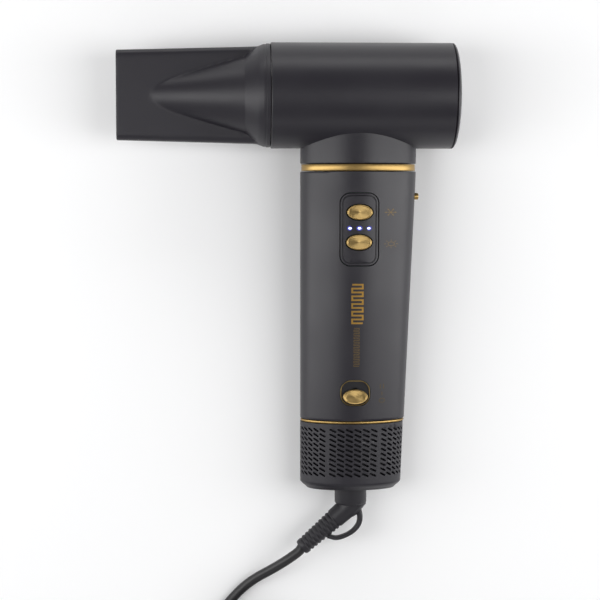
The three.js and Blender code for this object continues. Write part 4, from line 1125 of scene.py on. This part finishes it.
cage = {
    "top": -162.2, "shoulder": -191.8, "bottom": -195.8,
    "topWidth": 25.85, "topDepth": 15.6, "bottomWidth": 25.3, "bottomDepth": 15.3,
    "wall": 1.35, "inner": 1.6, "unroll": 25,
    "sectors": 6, "columns": 6, "columnTurn": 9.4,  # degrees
    "rows": 10, "firstRow": -165.4, "rowPitch": 2.46,
    "slotTurn": 8.3, "slotFall": 1.5, "slotWidth": 1.02,
    "footEdge": 3.4, "holeRadius": 8.3, "floor": 2, "weld": 0.004,
}
swivelX = -3.45


def cageSection(y, inset=0):
    share = (cage["top"] - y) / (cage["top"] - cage["shoulder"])
    halfWidth = mix(cage["topWidth"], cage["bottomWidth"], share)
    halfDepth = mix(cage["topDepth"], cage["bottomDepth"], share)
    return halfWidth - grip["topWidth"], y, halfWidth - inset, halfDepth - inset


# One sector of the cage, unrolled: along it u runs round the cage, v up the handle.
def cageSector():
    unit = math.radians(1) * cage["unroll"]
    half = 180 / cage["sectors"] * unit
    top, bottom = cage["top"], cage["shoulder"]

    def border(edge):
        across = [mix(-half, half, step / 24) for step in range(25)]
        upward = [mix(bottom, top, step / 12) for step in range(1, 12)]
        return ([(u, bottom) for u in across] + [(half, v) for v in upward]
                + [(u, top) for u in reversed(across)] + [(-half, v) for v in reversed(upward)])

    slots = []
    for column in range(cage["columns"]):
        middle = (column - (cage["columns"] - 1) / 2) * cage["columnTurn"] * unit
        for row in range(cage["rows"]):
            level = cage["firstRow"] - row * cage["rowPitch"]
            reach, drop = cage["slotTurn"] * unit / 2, cage["slotFall"] / 2
            along = Vector((reach, -drop)).normalized()
            loop = []
            for end in (1, -1):
                fromMiddle = Vector((reach, -drop)) - along * cage["slotWidth"] / 2
                for step in range(5):
                    a = math.pi * (step / 4 - 0.5)
                    out = along * math.cos(a) + Vector((-along.y, along.x)) * math.sin(a)
                    spot = Vector((middle, level)) + end * fromMiddle
                    spot += out * end * cage["slotWidth"] / 2
                    loop.append((spot.x, spot.y))
            slots.append(lambda edge, loop=loop: loop)
    return cutSheet(border, slots, lambda u, v, depth: (u, v, depth), cage["wall"], edge=0,
                    spacing=2.0, skipWalls=(-half, half))


def cageWallShape():
    flat, faces = cageSector()
    points, joined = [], []
    for sector in range(cage["sectors"]):
        shift = len(points)
        for u, v, depth in flat:
            a = math.pi / 2 + full * sector / cage["sectors"] - u / cage["unroll"]
            middle, _, halfWidth, halfDepth = cageSection(v, depth)
            points.append((middle + halfWidth * math.cos(a), v, halfDepth * math.sin(a)))
        joined += [tuple(i + shift for i in face) for face in faces]
    made = rawPiece("cageWall", points, joined)
    weld = made.modifiers.new("weld", "WELD")
    weld.merge_threshold = cage["weld"]
    return settle(made)


def cageFootShape():
    edge, sides = cage["footEdge"], 144
    shoulder, bottom = cage["shoulder"], cage["bottom"]
    reach, upper = cage["holeRadius"], bottom + cage["floor"]

    def holeRing(y, radius):
        return turnAlongHandle([(y, radius)], swivelX, sides)[0]

    def footRing(y, inset):
        section = cageSection(shoulder, inset)
        return ovalRing((section[0], y, section[2], section[3]), sides)

    rings = [
        footRing(shoulder, 0.0), footRing(shoulder - 0.5, 0.02), footRing(shoulder - 0.9, 0.2),
        footRing(shoulder - 2.0, edge * 0.36), footRing(shoulder - 2.15, edge * 0.45),
        footRing(bottom + 0.3, edge * 0.93), footRing(bottom + 0.07, edge),
        footRing(bottom, edge + 0.4), holeRing(bottom, reach + 0.3), holeRing(bottom + 0.3, reach),
        holeRing(upper, reach), footRing(upper, edge + cage["inner"]),
        footRing(shoulder, cage["inner"]),
    ]
    return skinRings(rings, closed=True)


finishPiece(cageWallShape(), cageBlack, "filter", ("filter_cage",), "soft_black", sharp=50)
addPiece("cageFoot", cageFootShape(), cageBlack, "filter", ("filter_foot",), "soft_black",
         sharp=24)
print("air filter made")

# Strain relief.

boot = {
    "collar": [(-176, 0.01), (-176, 7.6), (-176.4, 8), (-203.2, 8), (-204.0, 7.7), (-204.4, 7.0),
               (-204.5, 6.0), (-204.5, 0.01)],
    "startRadius": 5.5, "endRadius": 4.1, "plainFrom": 5.5, "plain": 12.6, "plainStep": 1.4,
    "elbow": [(-9, 5.0), (-6, 6.6), (-3.5, 6.9), (0, 6.4), (2.5, 5.9), (4.5, 5.6)],
    "elbowHeight": -203.8,
    "ribs": 9, "ribPitch": 2.3, "ribDepth": 0.45,
    # share of the pitch, share of the depth
    "groove": [(0, 0), (0.1, 0.75), (0.2, 1), (0.4, 1), (0.5, 0.75), (0.58, 0.1), (0.66, 0),
               (0.93, 0)],
    "end": [(34.0, 4.1), (34.6, 3.95), (35, 3.6), (35.0, 2.7)],
    "loop": [(-1.2, -202), (0.6, -207.5), (1.3, -212), (0.3, -215.6), (-2.6, -218.8), (-6.6, -221),
             (-10.8, -222), (-15, -221)],
    "loopWidths": (3.4, 1.9), "loopDepth": 4.6, "loopCorner": 0.42, "loopSpacing": 0.9,
}


def reliefShape():
    def taper(along):
        return mix(boot["startRadius"], boot["endRadius"], along / lead["reliefLength"])

    stations = list(boot["elbow"])
    at = boot["plainFrom"]
    while at < boot["plain"]:
        stations.append((at, taper(at)))
        at += boot["plainStep"]
    for rib in range(boot["ribs"]):
        start = boot["plain"] + rib * boot["ribPitch"]
        for share, depth in boot["groove"]:
            along = start + share * boot["ribPitch"]
            stations.append((along, taper(along) - depth * boot["ribDepth"]))
    stations += boot["end"]
    elbow = Vector((swivelX, boot["elbowHeight"], 0)).lerp(reliefStart, 0.3)
    route = []
    for along, _ in stations:
        if along < 0:  # up into the collar
            route.append(elbow + Vector((0, -along * 0.8, 0)) + reliefWay * 0.6)
        else:
            route.append(reliefStart + reliefWay * along)
    rings = tubeRings(route, [radius for _, radius in stations], 48)
    return skinRings(rings)


def loopShape():
    route = smoothRoute([(x, y, 0) for x, y in boot["loop"]], boot["loopSpacing"])
    rings = []
    for i, spot in enumerate(route):
        ahead = (route[min(i + 1, len(route) - 1)] - route[max(i - 1, 0)]).normalized()
        side = ahead.cross(Vector((0, 0, 1)))
        width = mix(*boot["loopWidths"], min(1, i / len(route) * 1.6))
        outline = roundedLoop(0, 0, width, boot["loopDepth"], width * boot["loopCorner"], 5)
        rings.append([spot + side * u + Vector((0, 0, v)) for u, v in outline])
    return skinRings(rings)


collar = skinRings(turnAlongHandle(boot["collar"], swivelX, 96))
for name, shape, stands in (("bootCollar", collar, "swivel_collar"),
                            ("bootRelief", reliefShape(), "cord_boot"),
                            ("hangingLoop", loopShape(), "cord_boot")):
    addPiece(name, shape, rubber, "swivel", (stands,), "rubber_black", sharp=40)

# What shows inside.

inside = [
    (steel, ["board_screw_1", "board_screw_2", "rotor_shaft", "upper_bearing", "lower_bearing"]),
    (aluminium, ["impeller", "thermal_cutout"]),
    (copper, ["motor_stator"]),
    (wireGrey, ["heating_coil"]),
    (micaSheet, ["heater_sleeve", "heater_frame"]),
    (magnetGrey, ["nozzle_magnet"]),
    (boardGreen, ["control_board", "power_board"]),
    (whiteMoulding, ["ion_generator", "motor_duct", "cool_switch", "heat_switch", "rear_switch"]),
    (rubber, ["motor_mount"]),
    (softBlack, ["swivel_socket", "slide_switch"]),
    (screenMesh, ["filter_screen"]),
]
for look, names in inside:
    for name in names:
        frame["nodes"][name].data.materials.clear()
        frame["nodes"][name].data.materials.append(look)
print("inside finished")

# Floor and lights.

studio = {
    "floor": 6, "floorColour": (0.965, 0.965, 0.97), "world": 0.23,
    # place, aim, width, length, watts
    "strips": [
        ((-0.62, -0.03, 0.42), (0, -0.03, 0), 0.34, 1.3, 5.0),
        ((0.62, -0.03, 0.42), (0, -0.03, 0), 0.34, 1.3, 5.0),
        ((0, 0.85, 0.3), (0, 0.05, 0), 1.2, 0.3, 3.0),
        ((0, -0.95, 0.5), (0, -0.1, 0), 1.2, 0.3, 1.2),
    ],
}
floorFinish = plasticFinish("paleFloor", studio["floorColour"], 0.85, spread=0.004, patch=3,
                            grain=300, relief=0.02, **{"Specular IOR Level": 0.1})
reach = studio["floor"]
corners = [(-reach, -reach, 0), (reach, -reach, 0), (reach, reach, 0), (-reach, reach, 0)]
floor = rawPiece("floor", corners, [(0, 1, 2, 3)])
floor.data.transform(Matrix.Translation((0, 0, -0.0002)))  # just clear of the lowest pieces
floor.data.materials.append(floorFinish)
sky = bpy.data.worlds.new("studio")
sky.use_nodes = True
sky.node_tree.nodes["Background"].inputs["Color"].default_value = (1, 1, 1, 1)
sky.node_tree.nodes["Background"].inputs["Strength"].default_value = studio["world"]
bpy.context.scene.world = sky
for number, (place, aim, width, length, watts) in enumerate(studio["strips"], start=1):
    lamp = bpy.data.lights.new("strip" + str(number), "AREA")
    lamp.shape = "RECTANGLE"
    lamp.size, lamp.size_y, lamp.energy = width, length, watts
    holder = bpy.data.objects.new("strip" + str(number), lamp)
    holder.location = place
    holder.rotation_mode = "QUATERNION"
    holder.rotation_quaternion = (Vector(aim) - Vector(place)).to_track_quat("-Z", "Y")
    bpy.context.scene.collection.objects.link(holder)
bpy.context.scene.view_settings.view_transform = "Standard"
print("studio lit")
